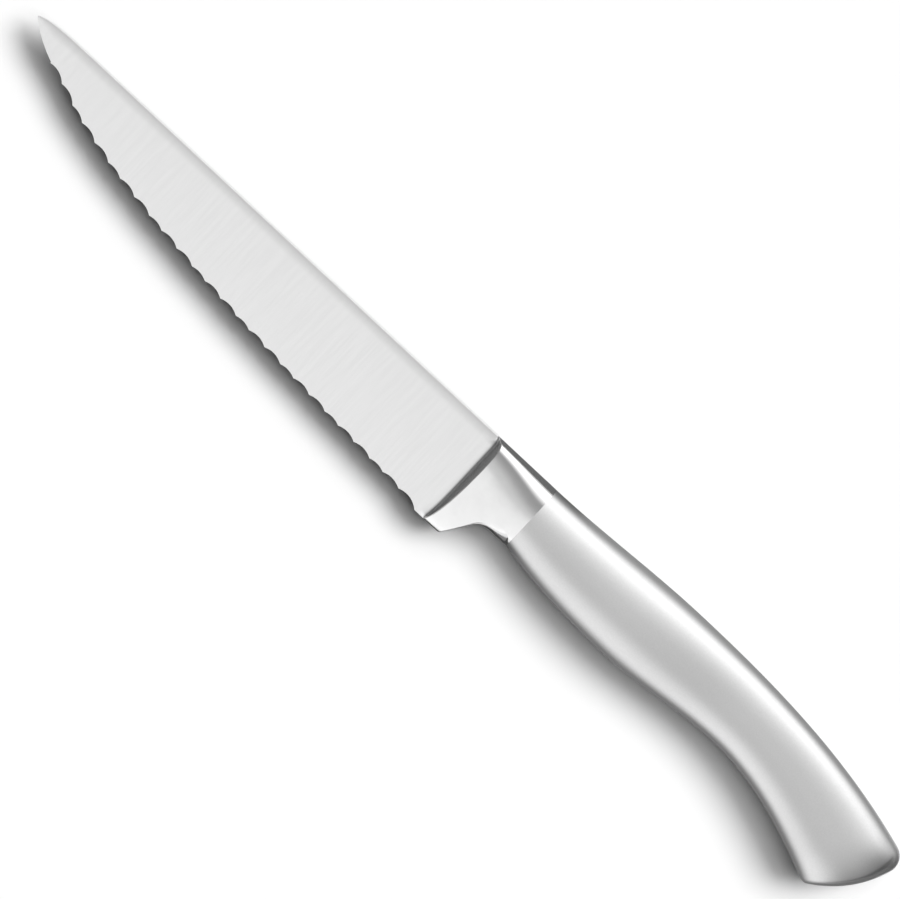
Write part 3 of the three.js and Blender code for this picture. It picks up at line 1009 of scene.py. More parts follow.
    def mesh(self, tang: "Tang") -> bpy.types.Mesh:
        """Build the body from the front faces to the tang's end.

        Args:
            tang: The spigot and tang behind the bolster.

        Returns:
            The body's mesh, with each part in its material slot.
        """
        ring = self.ring_places()
        rim = self.front(ring)
        start = rim[:, 0]
        fillet = self.fillet(rim)
        face = np.linalg.norm(fillet[-1] - rim, axis=-1)
        ease = np.minimum(self.front_edge_round, face / 2)
        inner = rim + scaled(fillet[-1] - rim, ease / np.maximum(face, MERGE_DISTANCE))
        side = [
            self.surface(start + ease + (self.neck.joint - start - ease) * share, ring)
            for share in np.linspace(0, 1, self.rows)
        ]
        rounding = [quadratic(inner, rim, side[0], t) for t in np.linspace(0, 1, self.round_rows)]
        skin = Skin()
        skin.patch(round_ring(np.array(fillet)), BodySlot.BLADE.value)
        skin.patch(round_ring(np.array([fillet[-1], *rounding, *side[1:]])), BodySlot.BOLSTER.value)
        behind = tang.rings(math.pi * ring)
        skin.patch(round_ring(np.array([side[-1], *behind])), BodySlot.TANG.value)
        skin.polygon(behind[-1], BodySlot.TANG.value)
        return skin.mesh("bolster body")


@dataclass(frozen=True)
class Handle:
    """The hollow handle: two pressed half shells and the weld between them."""

    neck: Neck
    crown: float = 36.3  # from the joint to the highest point of the back
    crown_rise: float = 1.35
    butt_top_depth: float = 6.5
    butt_top_slope: float = 18.5
    neck_belly_slope: float = 11.3
    palm: float = 27.8  # from the joint to the fullest point of the belly
    palm_depth: float = 16.97
    palm_to_waist: float = 27.0
    waist_depth: float = 14.94
    waist_to_hook: float = 31.2
    hook_depth: float = 23.05
    hook_slope: float = 24.5
    butt_lean: float = 11.84
    palm_thickness: float = 15.0
    waist_thickness: float = 13.2
    butt_thickness: float = 13.6
    butt_squareness: float = 2.9
    fuller_to: float = 0.9  # share of the length where the section is as square as that
    butt_bow: float = 2.35
    butt_camber: float = 0.9
    butt_bow_power: float = 4.0
    butt_top_radius: float = 3.6
    butt_side_radius: float = 1.1
    butt_roll: float = 1.25  # how far each side rolls in at the butt
    butt_roll_length: float = 9.0
    butt_roll_power: float = 3.0  # how late it does
    hook_radius: float = 1.8
    inner_radius: float = 0.6
    wall: float = 1.2
    seam_width: float = 0.8
    tangent_step: float = 1 / 24  # share of the length over which the sides' direction at the butt is read
    columns: int = 150
    seam_columns: int = 6
    side_rows: int = 150
    corner_rows: int = 20
    butt_rows: int = 24
    search_steps: int = 50  # halvings until a seam's angle is found

    @property
    def waist(self) -> float:
        """Place of the hollow for the last fingers."""
        return self.palm + self.palm_to_waist

    @property
    def hook(self) -> float:
        """Place of the butt's lower corner."""
        return self.waist + self.waist_to_hook

    @property
    def length(self) -> float:
        """Place of the butt's upper corner."""
        return self.hook + self.butt_lean

    def spine_rail(self) -> Rail:
        """Draw the handle's back.

        Returns:
            Its height over the distance from the joint.
        """
        fall = -math.tan(math.radians(self.butt_top_slope))
        crown = (self.crown, self.crown_rise, 0.0)
        return Rail(((0.0, 0.0, 0.0), crown, (self.length, -self.butt_top_depth, fall)))

    def belly_rail(self) -> Rail:
        """Draw the handle's underside.

        Returns:
            Its height over the distance from the joint.
        """
        lead = -math.tan(math.radians(self.neck_belly_slope))
        fall = -math.tan(math.radians(self.hook_slope))
        return Rail(
            (
                (0.0, -self.neck.depth, lead),
                (self.palm, -self.palm_depth, 0.0),
                (self.waist, -self.waist_depth, 0.0),
                (self.hook, -self.hook_depth, fall),
            )
        )

    def thickness_rail(self) -> Rail:
        """Draw how thick the handle is.

        Returns:
            Its thickness over the distance from the joint.
        """
        return Rail(
            (
                (0.0, self.neck.thickness, 0.0),
                (self.palm, self.palm_thickness, 0.0),
                (self.waist, self.waist_thickness, 0.0),
                ((self.hook + self.length) / 2, self.butt_thickness, 0.0),
            )
        )

    def section(self, t: np.ndarray) -> tuple[np.ndarray, np.ndarray, np.ndarray]:
        """Find the handle's section at a share of its length.

        Args:
            t: The shares.

        Returns:
            The middle of the section's line from belly to spine, half that line, and the half width.
        """
        spine_x, belly_x = self.length * t, self.hook * t
        flat = np.zeros_like(t)
        top = np.stack([self.neck.joint + spine_x, self.spine_rail().at(spine_x), flat], axis=-1)
        bottom = np.stack([self.neck.joint + belly_x, self.belly_rail().at(belly_x), flat], axis=-1)
        middle = (top + bottom) / 2
        rolled = np.clip(1 - (1 - t) * self.length / self.butt_roll_length, 0, 1) ** self.butt_roll_power
        half = self.thickness_rail().at((spine_x + belly_x) / 2) / 2 - self.butt_roll * rolled
        return middle, top - middle, half

    def butt_outward(self) -> np.ndarray:
        """Find the direction that the butt faces.

        Returns:
            A unit vector.
        """
        _, chord, _ = self.section(np.array(1.0))
        outward = np.cross(chord, UP)
        return outward / np.linalg.norm(outward)

    def butt_rise(self, deep: np.ndarray, across: np.ndarray) -> np.ndarray:
        """How far the bowed butt stands out of its chord, at shares of its half chord and half width."""
        return self.butt_bow * (1 - deep**2) - self.butt_camber * across**2

    def side_point(self, t: np.ndarray, deep: np.ndarray, across: np.ndarray, inset: float) -> np.ndarray:
        """Find points on the handle's side.

        Args:
            t: Shares of the handle's length.
            deep: Shares of the half chord.
            across: Shares of the half width.
            inset: How far the form is drawn in.

        Returns:
            One point for each set.
        """
        middle, chord, half = self.section(t)
        bowed = (self.butt_rise(deep, across) - inset) * np.maximum(0, t) ** self.butt_bow_power
        shrink = 1 - inset / np.linalg.norm(chord, axis=-1)
        lifted = scaled(UP, across * (half - inset)) + scaled(self.butt_outward(), bowed)
        return middle + scaled(chord, deep * shrink) + lifted

    def butt_point(self, share: np.ndarray, deep: np.ndarray, across: np.ndarray, inset: float) -> np.ndarray:
        """Find points on the butt's face.

        Args:
            share: Shares of the way from the face's middle to its rim.
            deep: Shares of the half chord.
            across: Shares of the half width.
            inset: How far the form is drawn in.

        Returns:
            One point for each set.
        """
        middle, chord, half = self.section(np.array(1.0))
        shrink = 1 - inset / np.linalg.norm(chord)
        rise = self.butt_rise(share * deep, share * across) - inset
        lifted = scaled(UP, share * across * (half - inset)) + scaled(self.butt_outward(), rise)
        return middle + scaled(chord, share * deep * shrink) + lifted

    def form(self, angle: np.ndarray, v: np.ndarray, inset: float) -> np.ndarray:
        """Find points on the handle's whole form.

        Args:
            angle: Angles round the oval.
            v: Places along it: 0 to 1 down the side, to 2 round the butt's edge, to 3 in over its face.
            inset: How far the form is drawn in.

        Returns:
            One point for each pair.
        """
        fuller = smooth_share(v, 0, self.fuller_to)
        deep, across = on_oval(angle, mix(self.neck.squareness, self.butt_squareness, fuller))
        whole = np.ones_like(angle)
        rim = self.side_point(whole, deep, across, inset)
        arriving = rim - self.side_point(whole - self.tangent_step, deep, across, inset)
        leaving = self.butt_point(whole - self.tangent_step, deep, across, inset) - rim
        apex = self.butt_point(0 * whole, deep, across, inset)
        arrival = np.linalg.norm(arriving, axis=-1)
        cosine = np.sum(arriving * leaving, axis=-1) / (arrival * np.linalg.norm(leaving, axis=-1))
        turn = np.arccos(np.clip(cosine, -1, 1))
        end_radius = np.where(deep > 0, self.butt_top_radius, self.hook_radius)
        radius = np.maximum(mix(self.butt_side_radius, end_radius, deep**2) - inset, self.inner_radius)
        cut_back = radius * np.tan(turn / 2)
        side_end = 1 - cut_back * self.tangent_step / arrival
        face_start = 1 - cut_back / np.linalg.norm(rim - apex, axis=-1)
        _, _, butt_half = self.section(np.array(1.0))
        face_end = self.seam_width / 2 / (butt_half - inset)
        side = self.side_point(side_end * np.clip(v, 0, 1), deep, across, inset)
        face = self.butt_point(mix(face_start, face_end, np.clip(v - 2, 0, 1)), deep, across, inset)
        u = np.clip(v - 1, 0, 1)
        pulls = ((1 - u) ** 2, 2 * np.cos(turn / 2) * u * (1 - u), u**2)
        start = self.side_point(side_end, deep, across, inset)
        finish = self.butt_point(face_start, deep, across, inset)
        corner = scaled(start, pulls[0]) + scaled(rim, pulls[1]) + scaled(finish, pulls[2])
        corner = scaled(corner, 1 / sum(pulls))
        return np.where((v <= 1)[..., None], side, np.where((v <= 2)[..., None], corner, face))

    def places(self) -> np.ndarray:
        """List the rows from the joint to the butt's middle.

        Returns:
            Places along the handle's form, from 0 up to 3.
        """
        side = np.linspace(0, 1, self.side_rows, endpoint=False)
        corner = np.linspace(1, 2, self.corner_rows, endpoint=False)
        return np.concatenate([side, corner, np.linspace(2, 3, self.butt_rows)])

    def seam_angles(self, inset: float) -> tuple[np.ndarray, np.ndarray]:
        """Find where each row meets the seam's left side.

        Args:
            inset: How far the form is drawn in.

        Returns:
            The angles at the spine and at the belly.
        """
        v = self.places()
        found = []
        for outer in (0.0, math.pi):
            low = np.full_like(v, outer)
            high = np.full_like(v, math.pi / 2)
            for _ in range(self.search_steps):
                trial = (low + high) / 2
                below = self.form(trial, v, inset)[:, 2] < self.seam_width / 2
                low, high = np.where(below, trial, low), np.where(below, high, trial)
            found.append((low + high) / 2)
        return found[0], found[1]

    def strip(self, first: np.ndarray, last: np.ndarray, columns: int, inset: float) -> np.ndarray:
        """Sample a strip of the form between two angles in each row.

        Args:
            first: The angle where each row starts.
            last: The angle where each row ends.
            columns: How many points a row has.
            inset: How far the form is drawn in.

        Returns:
            Points by row and column.
        """
        share = np.linspace(0, 1, columns)
        angle = mix(first[:, None], last[:, None], share[None])
        v = np.repeat(self.places()[:, None], columns, axis=1)
        return self.form(angle, v, inset)

    def half_shell(self, side: Side) -> bpy.types.Mesh:
        """Build one half shell, open at the joint and flat along the seam.

        Args:
            side: Which half to build.

        Returns:
            The half shell's mesh.
        """
        walls = []
        for inset in (0.0, self.wall):
            spine, belly = self.seam_angles(inset)
            wall = self.strip(spine, belly, self.columns, inset)
            wall[:, [0, -1], 2] = self.seam_width / 2
            walls.append(wall * [1, 1, side.value])
        skin = Skin()
        skin.wall(*walls)
        return skin.mesh(f"{side.name.lower()} half shell")

    def seam(self) -> bpy.types.Mesh:
        """Build the weld bead: a flush band along the spine, round the butt and along the belly.

        Returns:
            The bead's mesh.
        """
        walls = []
        for inset in (0.0, self.wall):
            spine, belly = self.seam_angles(inset)
            pair = [
                self.strip(-spine, spine, self.seam_columns, inset),
                self.strip(belly, 2 * math.pi - belly, self.seam_columns, inset),
            ]
            for band, sign in zip(pair, (1, -1)):
                band[:, 0, 2] = -sign * self.seam_width / 2
                band[:, -1, 2] = sign * self.seam_width / 2
            walls.append(pair)
        skin = Skin()
        for outer, inner in zip(*walls):
            skin.wall(outer, inner)
        for spine_band, belly_band in walls:
            skin.polygon(np.vstack([spine_band[-1], belly_band[-1]]))
        return skin.mesh("seam bead")


@dataclass(frozen=True)
class Tang:
    """The spigot that centres the shells, and the stub tang behind it."""

    handle: Handle
    fit_gap: float = 0.3
    spigot_length: float = 6.0
    length: float = 45.0
    thickness: float = 3.0
    taper: float = 1.5
    bedding: float = 1.3
    squareness: float = 8.0  # nearly a rectangle
    spigot_rings: int = 8

    def rings(self, angle: np.ndarray) -> list[np.ndarray]:
        """Draw the rings from the bolster's shoulder to the tang's end.

        Args:
            angle: Angles round the oval.

        Returns:
            The rings in order, each with one point per angle.
        """
        handle = self.handle
        inset = handle.wall + self.fit_gap
        deep, across = on_oval(angle, handle.neck.squareness)
        share = np.linspace(0, self.spigot_length / handle.length, self.spigot_rings)
        rings = [handle.side_point(np.full_like(angle, t), deep, across, inset) for t in share]
        deep, across = on_oval(angle, self.squareness)
        half = handle.neck.depth / 2 - inset - self.bedding
        start = handle.neck.joint + self.spigot_length
        for x, narrowing in ((start, 0.0), (start + self.length, self.taper)):
            y = -handle.neck.depth / 2 + (half - narrowing) * deep
            rings.append(np.stack([np.full_like(angle, x), y, across * self.thickness / 2], axis=-1))
        return rings


class ForgingTree:
    """The node tree that grinds the scallops into the blank and joins it to the bolster."""

    ROW_RESOLUTION = 400  # steps of the curve that the row follows
    TEETH = ("tooth_before", "tooth_after")  # the two ends of a scallop, kept on its point
    SIZES = {
        "First Tooth": "NodeSocketVector",
        "Lead Handle": "NodeSocketVector",
        "Trail Handle": "NodeSocketVector",
        "Row End": "NodeSocketVector",
        "Last Tooth": "NodeSocketVector",
        "First Width": "NodeSocketFloat",
        "Second Width": "NodeSocketFloat",
        "Third Width": "NodeSocketFloat",
        "Narrowing": "NodeSocketFloat",
        "Scallop Radius": "NodeSocketFloat",
        "Grind Angle": "NodeSocketFloat",
        "Spine Half": "NodeSocketFloat",
        "Thinning": "NodeSocketVector",
        "Wheel Face": "NodeSocketFloat",
        "Wheel Facets": "NodeSocketInt",
        "Point Cutter": "NodeSocketObject",
        "Bolster Body": "NodeSocketObject",
        "Blade Finish": "NodeSocketMaterial",
        "Scallop Finish": "NodeSocketMaterial",
    }

    def __init__(self) -> None:
        """Make the tree and its sockets."""
        self.tree = bpy.data.node_groups.new("ground forging", "GeometryNodeTree")
        face = self.tree.interface
        face.new_socket("Geometry", in_out="INPUT", socket_type="NodeSocketGeometry")
        self.sockets = {
            name: face.new_socket(name, in_out="INPUT", socket_type=kind).identifier
            for name, kind in self.SIZES.items()
        }
        face.new_socket("Geometry", in_out="OUTPUT", socket_type="NodeSocketGeometry")
        self.given = add_node(self.tree, "NodeGroupInput").outputs
        self._wire()

    def _worked_out(
        self, kind: str, operation: str, *values: object, output: str | int = 0
    ) -> bpy.types.NodeSocket:
        """Add a node that works out values by an operation, and take one of its outputs."""
        return add_node(self.tree, kind, dict(enumerate(values)), operation=operation).outputs[output]

    def _row(self) -> tuple[bpy.types.NodeSocket, list[bpy.types.NodeSocket]]:
        """Lay out the even row along the edge's curve.

        Returns:
            One point per scallop, and the places of the teeth before and after it.
        """
        given, tree, work = self.given, self.tree, self._worked_out
        ends = {
            "Start": "First Tooth",
            "Start Handle": "Lead Handle",
            "End Handle": "Trail Handle",
            "End": "Row End",
        }
        curve = add_node(
            tree,
            "GeometryNodeCurvePrimitiveBezierSegment",
            {"Resolution": self.ROW_RESOLUTION, **{socket: given[name] for socket, name in ends.items()}},
        ).outputs[0]
        length = add_node(tree, "GeometryNodeCurveLength", {0: curve}).outputs[0]
        widths = [given[name] for name in ("First Width", "Second Width", "Third Width")]
        rhythm_length = float(len(widths))
        total = work(MATH, "ADD", work(MATH, "ADD", widths[0], widths[1]), widths[2])
        mean = work(MATH, "DIVIDE", total, rhythm_length)
        slack = work(MATH, "SUBTRACT", 1.0, work(MATH, "MULTIPLY", given["Narrowing"], 0.5))
        count = work(MATH, "ROUND", work(MATH, "DIVIDE", length, work(MATH, "MULTIPLY", mean, slack)))
        points = add_node(tree, "GeometryNodePoints", {"Count": count}).outputs[0]
        index = add_node(tree, "GeometryNodeInputIndex").outputs[0]
        rhythm = add_node(tree, "GeometryNodeIndexSwitch", data_type="FLOAT")
        rhythm.index_switch_items.new()
        tree.links.new(work(MATH, "MODULO", index, rhythm_length), rhythm.inputs["Index"])
        for number, width in enumerate(widths, start=1):
            tree.links.new(width, rhythm.inputs[number])
        loss = work(MATH, "DIVIDE", work(MATH, "MULTIPLY", given["Narrowing"], index), count)
        width = work(MATH, "MULTIPLY", rhythm.outputs[0], work(MATH, "SUBTRACT", 1.0, loss))
        reached = add_node(tree, "GeometryNodeAccumulateField", {"Value": width}).outputs
        teeth = []
        for end in ("Trailing", "Leading"):
            share = work(MATH, "DIVIDE", reached[end], reached["Total"])
            tooth = add_node(
                tree, "GeometryNodeSampleCurve", {"Curves": curve, "Factor": share}, mode="FACTOR"
            )
            teeth.append(tooth.outputs["Position"])
        return points, teeth

    def _wheels(self) -> bpy.types.NodeSocket:
        """Set a grinding wheel on each scallop, so that it breaks through the left side between two teeth.

        Returns:
            The wheels as instances.
        """
        given, tree, work = self.given, self.tree, self._worked_out
        up = tuple(map(float, UP))
        down = tuple(map(float, -UP))
        heel = add_node(tree, "GeometryNodePoints", {"Count": 1}).outputs[0]
        cuts = add_node(tree, "GeometryNodeJoinGeometry")
        for points, teeth in ((heel, (given["Row End"], given["Last Tooth"])), self._row()):
            for name, tooth in zip(self.TEETH, teeth):
                points = add_node(
                    tree,
                    "GeometryNodeStoreNamedAttribute",
                    {"Geometry": points, "Name": name, "Value": tooth},
                    data_type="FLOAT_VECTOR",
                ).outputs[0]
            tree.links.new(points, cuts.inputs[0])
        before, after = (
            add_node(
                tree, "GeometryNodeInputNamedAttribute", {"Name": name}, data_type="FLOAT_VECTOR"
            ).outputs[0]
            for name in self.TEETH
        )
        chord = work(VECTOR_MATH, "SUBTRACT", after, before)
        along = work(VECTOR_MATH, "NORMALIZE", chord)
        outward = work(VECTOR_MATH, "CROSS_PRODUCT", along, up)
        sine, cosine = (work(MATH, name, given["Grind Angle"]) for name in ("SINE", "COSINE"))
        down_sine, down_cosine = (work(VECTOR_MATH, "MULTIPLY", down, part) for part in (sine, cosine))
        out_sine, out_cosine = (work(VECTOR_MATH, "MULTIPLY", outward, part) for part in (sine, cosine))
        path = work(VECTOR_MATH, "SUBTRACT", down_sine, out_cosine)
        away = work(VECTOR_MATH, "ADD", down_cosine, out_sine)
        radius = work(MATH, "DIVIDE", given["Scallop Radius"], sine)
        half = work(MATH, "MULTIPLY", work(VECTOR_MATH, "LENGTH", chord, output="Value"), 0.5)
        squares = [work(MATH, "POWER", size, 2.0) for size in (radius, half)]
        sink = work(MATH, "SQRT", work(MATH, "SUBTRACT", *squares))
        middle = work(VECTOR_MATH, "MULTIPLY", work(VECTOR_MATH, "ADD", before, after), (0.5, 0.5, 0.5))
        lean = work(VECTOR_MATH, "DOT_PRODUCT", middle, given["Thinning"], output="Value")
        rise = work(VECTOR_MATH, "MULTIPLY", up, work(MATH, "ADD", given["Spine Half"], lean))
        on_side = work(VECTOR_MATH, "ADD", middle, rise)
        centre = work(VECTOR_MATH, "ADD", on_side, work(VECTOR_MATH, "MULTIPLY", away, sink))
        seats = add_node(
            tree, "GeometryNodeSetPosition", {"Geometry": cuts.outputs[0], "Position": centre}
        )
        wheel = add_node(
            tree,
            "GeometryNodeMeshCylinder",
            {"Vertices": given["Wheel Facets"], "Radius": radius, "Depth": given["Wheel Face"]},
        )
        turn = add_node(
            tree,
            "FunctionNodeAxesToRotation",
            {"Primary Axis": path, "Secondary Axis": along},
            primary_axis="Z",
            secondary_axis="X",
        )
        return add_node(
            tree,
            "GeometryNodeInstanceOnPoints",
            {"Points": seats.outputs[0], "Instance": wheel.outputs[0], "Rotation": turn.outputs[0]},
        ).outputs[0]

    def _wire(self) -> None:
        """Cut the blank, join it to the bolster and give each face its finish."""
        given, tree = self.given, self.tree
        cutter, body = (
            add_node(tree, "GeometryNodeObjectInfo", {"Object": given[name]}).outputs["Geometry"]
            for name in ("Point Cutter", "Bolster Body")
        )
        ground = add_node(tree, "GeometryNodeMeshBoolean", operation="DIFFERENCE", solver="EXACT")
        for shape, mark, socket in (
            (given["Geometry"], "from_blank", "Mesh 1"),
            (self._wheels(), "from_wheel", "Mesh 2"),
            (cutter, "from_wheel", "Mesh 2"),
        ):
            marked = add_node(
                tree,
                "GeometryNodeStoreNamedAttribute",
                {"Geometry": shape, "Name": mark, "Value": True},
                data_type="BOOLEAN",
                domain="FACE",
            )
            tree.links.new(marked.outputs[0], ground.inputs[socket])
        whole = add_node(tree, "GeometryNodeMeshBoolean", operation="UNION", solver="EXACT")
        for part in (ground.outputs[0], body):
            tree.links.new(part, whole.inputs["Mesh 2"])
        done = add_node(tree, "GeometryNodeRealizeInstances", {0: whole.outputs[0]}).outputs[0]
        for mark, finish in (("from_blank", "Blade Finish"), ("from_wheel", "Scallop Finish")):
            faces = add_node(tree, "GeometryNodeInputNamedAttribute", {"Name": mark}, data_type="BOOLEAN")
            done = add_node(
                tree,
                "GeometryNodeSetMaterial",
                {"Geometry": done, "Selection": faces.outputs[0], "Material": given[finish]},
            ).outputs[0]
        add_node(tree, "NodeGroupOutput", {0: done})

    def grind(self, blank: bpy.types.Object, sizes: dict[str, object]) -> bpy.types.Mesh:
        """Run the tree on a blank.

        Args:
            blank: The object that holds the blank.
            sizes: A value for each named input.

        Returns:
            The finished forging as a plain mesh.
        """
        step = blank.modifiers.new("ground forging", "NODES")
        step.node_group = self.tree
        for name, value in sizes.items():
            step[self.sockets[name]] = value
        blank.update_tag()
        bpy.context.view_layer.update()
        graph = bpy.context.evaluated_depsgraph_get()
        mesh = bpy.data.meshes.new_from_object(blank.evaluated_get(graph), depsgraph=graph)
        blank.modifiers.remove(step)
        return mesh


@dataclass(frozen=True)
class Forging:
    """Blade, bolster, spigot and tang, forged in one."""

    blade: Blade
    bolster: Bolster
    tang: Tang

    def build(self, place: KnifeFrame) -> bpy.types.Object:
        """Build the forging and dress it.

        Args:
            place: Where the drawing frame lies.

        Returns:
            The finished piece.
        """
        blade = self.blade
        body_mesh = self.bolster.mesh(self.tang)
        ground = GROUND_BLADE.material()
        finishes = {
            BodySlot.BOLSTER: BUFFED_BOLSTER.material(),
            BodySlot.TANG: FORGED_TANG.material(),
            BodySlot.BLADE: ground,
        }
        for slot in BodySlot:
            body_mesh.materials.append(finishes[slot])
        meshes = (blade.blank(), blade.point_cutter(), body_mesh)
        helpers = [put_in_scene(mesh.name, mesh) for mesh in meshes]
        blank, cutter, body = helpers
        in_plane = {
            "First Tooth": blade.first_tooth,
            "Lead Handle": blade.lead,
            "Trail Handle": blade.trail,
            "Row End": blade.row_end,
            "Last Tooth": blade.last_tooth,
            "Thinning": blade.thinning(),
        }
        sizes = {
            **{name: (*map(float, at), 0.0) for name, at in in_plane.items()},
            "First Width": blade.scallop_widths[0],
            "Second Width": blade.scallop_widths[1],
            "Third Width": blade.scallop_widths[2],
            "Narrowing": blade.scallop_narrowing,
            "Scallop Radius": blade.scallop_radius,
            "Grind Angle": math.radians(blade.grind_angle),
            "Spine Half": blade.spine_thickness / 2,
            "Wheel Face": 2 * blade.spine_thickness / math.sin(math.radians(blade.grind_angle)),
            "Wheel Facets": blade.wheel_facets,
            "Point Cutter": cutter,
            "Bolster Body": body,
            "Blade Finish": ground,
            "Scallop Finish": WHEEL_GROUND.material(),
        }
        mesh = ForgingTree().grind(blank, sizes)
        for helper in helpers:
            bpy.data.objects.remove(helper)
        return place.place(mesh, "forged_blade", "blade_with_bolster", "ground_steel")


@dataclass(frozen=True)
class HollowHandle:
    """The handle's shells and weld as finished pieces, and the cement inside."""

    handle: Handle

    def build(self, place: KnifeFrame) -> list[bpy.types.Object]:
        """Build the handle's pieces and dress them.

        Args:
            place: Where the drawing frame lies.

        Returns:
            The finished pieces.
        """
        satin = SATIN_SHELL.material()
        pieces = []
        for side in Side:
            mesh = self.handle.half_shell(side)
            mesh.materials.append(satin)
            name = side.name.lower()
            pieces.append(place.place(mesh, f"{name}_shell_satin", f"{name}_handle_shell", "satin_steel"))
        bead = self.handle.seam()
        bead.materials.append(DRESSED_WELD.material())
        pieces.append(place.place(bead, "seam_weld_dressed", "handle_seam_weld", "weld_steel"))
        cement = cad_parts["tang_cement"]
        cement.data.materials.clear()
        cement.data.materials.append(Filler().material())
        LOG.info("tang_cement keeps its solid, dressed as cast filler")
        return pieces


@dataclass(frozen=True)
class Sun:
    """A far lamp: the wider its light spans, the softer the shadow's edge."""

    name: str
    strength: float
    lean: float  # degrees from straight up
    swing: float  # degrees from the spine's side towards the butt
    spread: float  # degrees that its light spans


@dataclass(frozen=True)
class Strip:
    """A strip light along the handle, between two angles from straight up towards the spine."""

    name: str
    low: float
    high: float
    radiance: float


@dataclass(frozen=True)
class Card:
    """A flat glowing card on the floor beside the knife, in drawing millimetres, that shows only in the
    steel's reflections: a painted reflection.
    """

    name: str
    left: float
    right: float
    low: float
    high: float
    level: float  # how bright it looks in the steel


@dataclass(frozen=True)
class Glow:
    """How bright the tent is at an angle from straight up towards the spine."""

    angle: float  # degrees
    level: float


def flat_sheet(name: str, corners: tuple[Vector, Vector], finish: bpy.types.Material) -> bpy.types.Object:
    """Lay a flat rectangle.

    Args:
        name: The sheet's name.
        corners: Its two opposite corners, the lower left one first, which also gives its height.
        finish: Its material.

    Returns:
        The sheet.
    """
    first, last = corners
    ring = [(first.x, first.y), (last.x, first.y), (last.x, last.y), (first.x, last.y)]
    mesh = bpy.data.meshes.new(name)
    mesh.from_pydata([(x, y, first.z) for x, y in ring], [], [range(len(ring))])
    mesh.materials.append(finish)
    return put_in_scene(name, mesh)


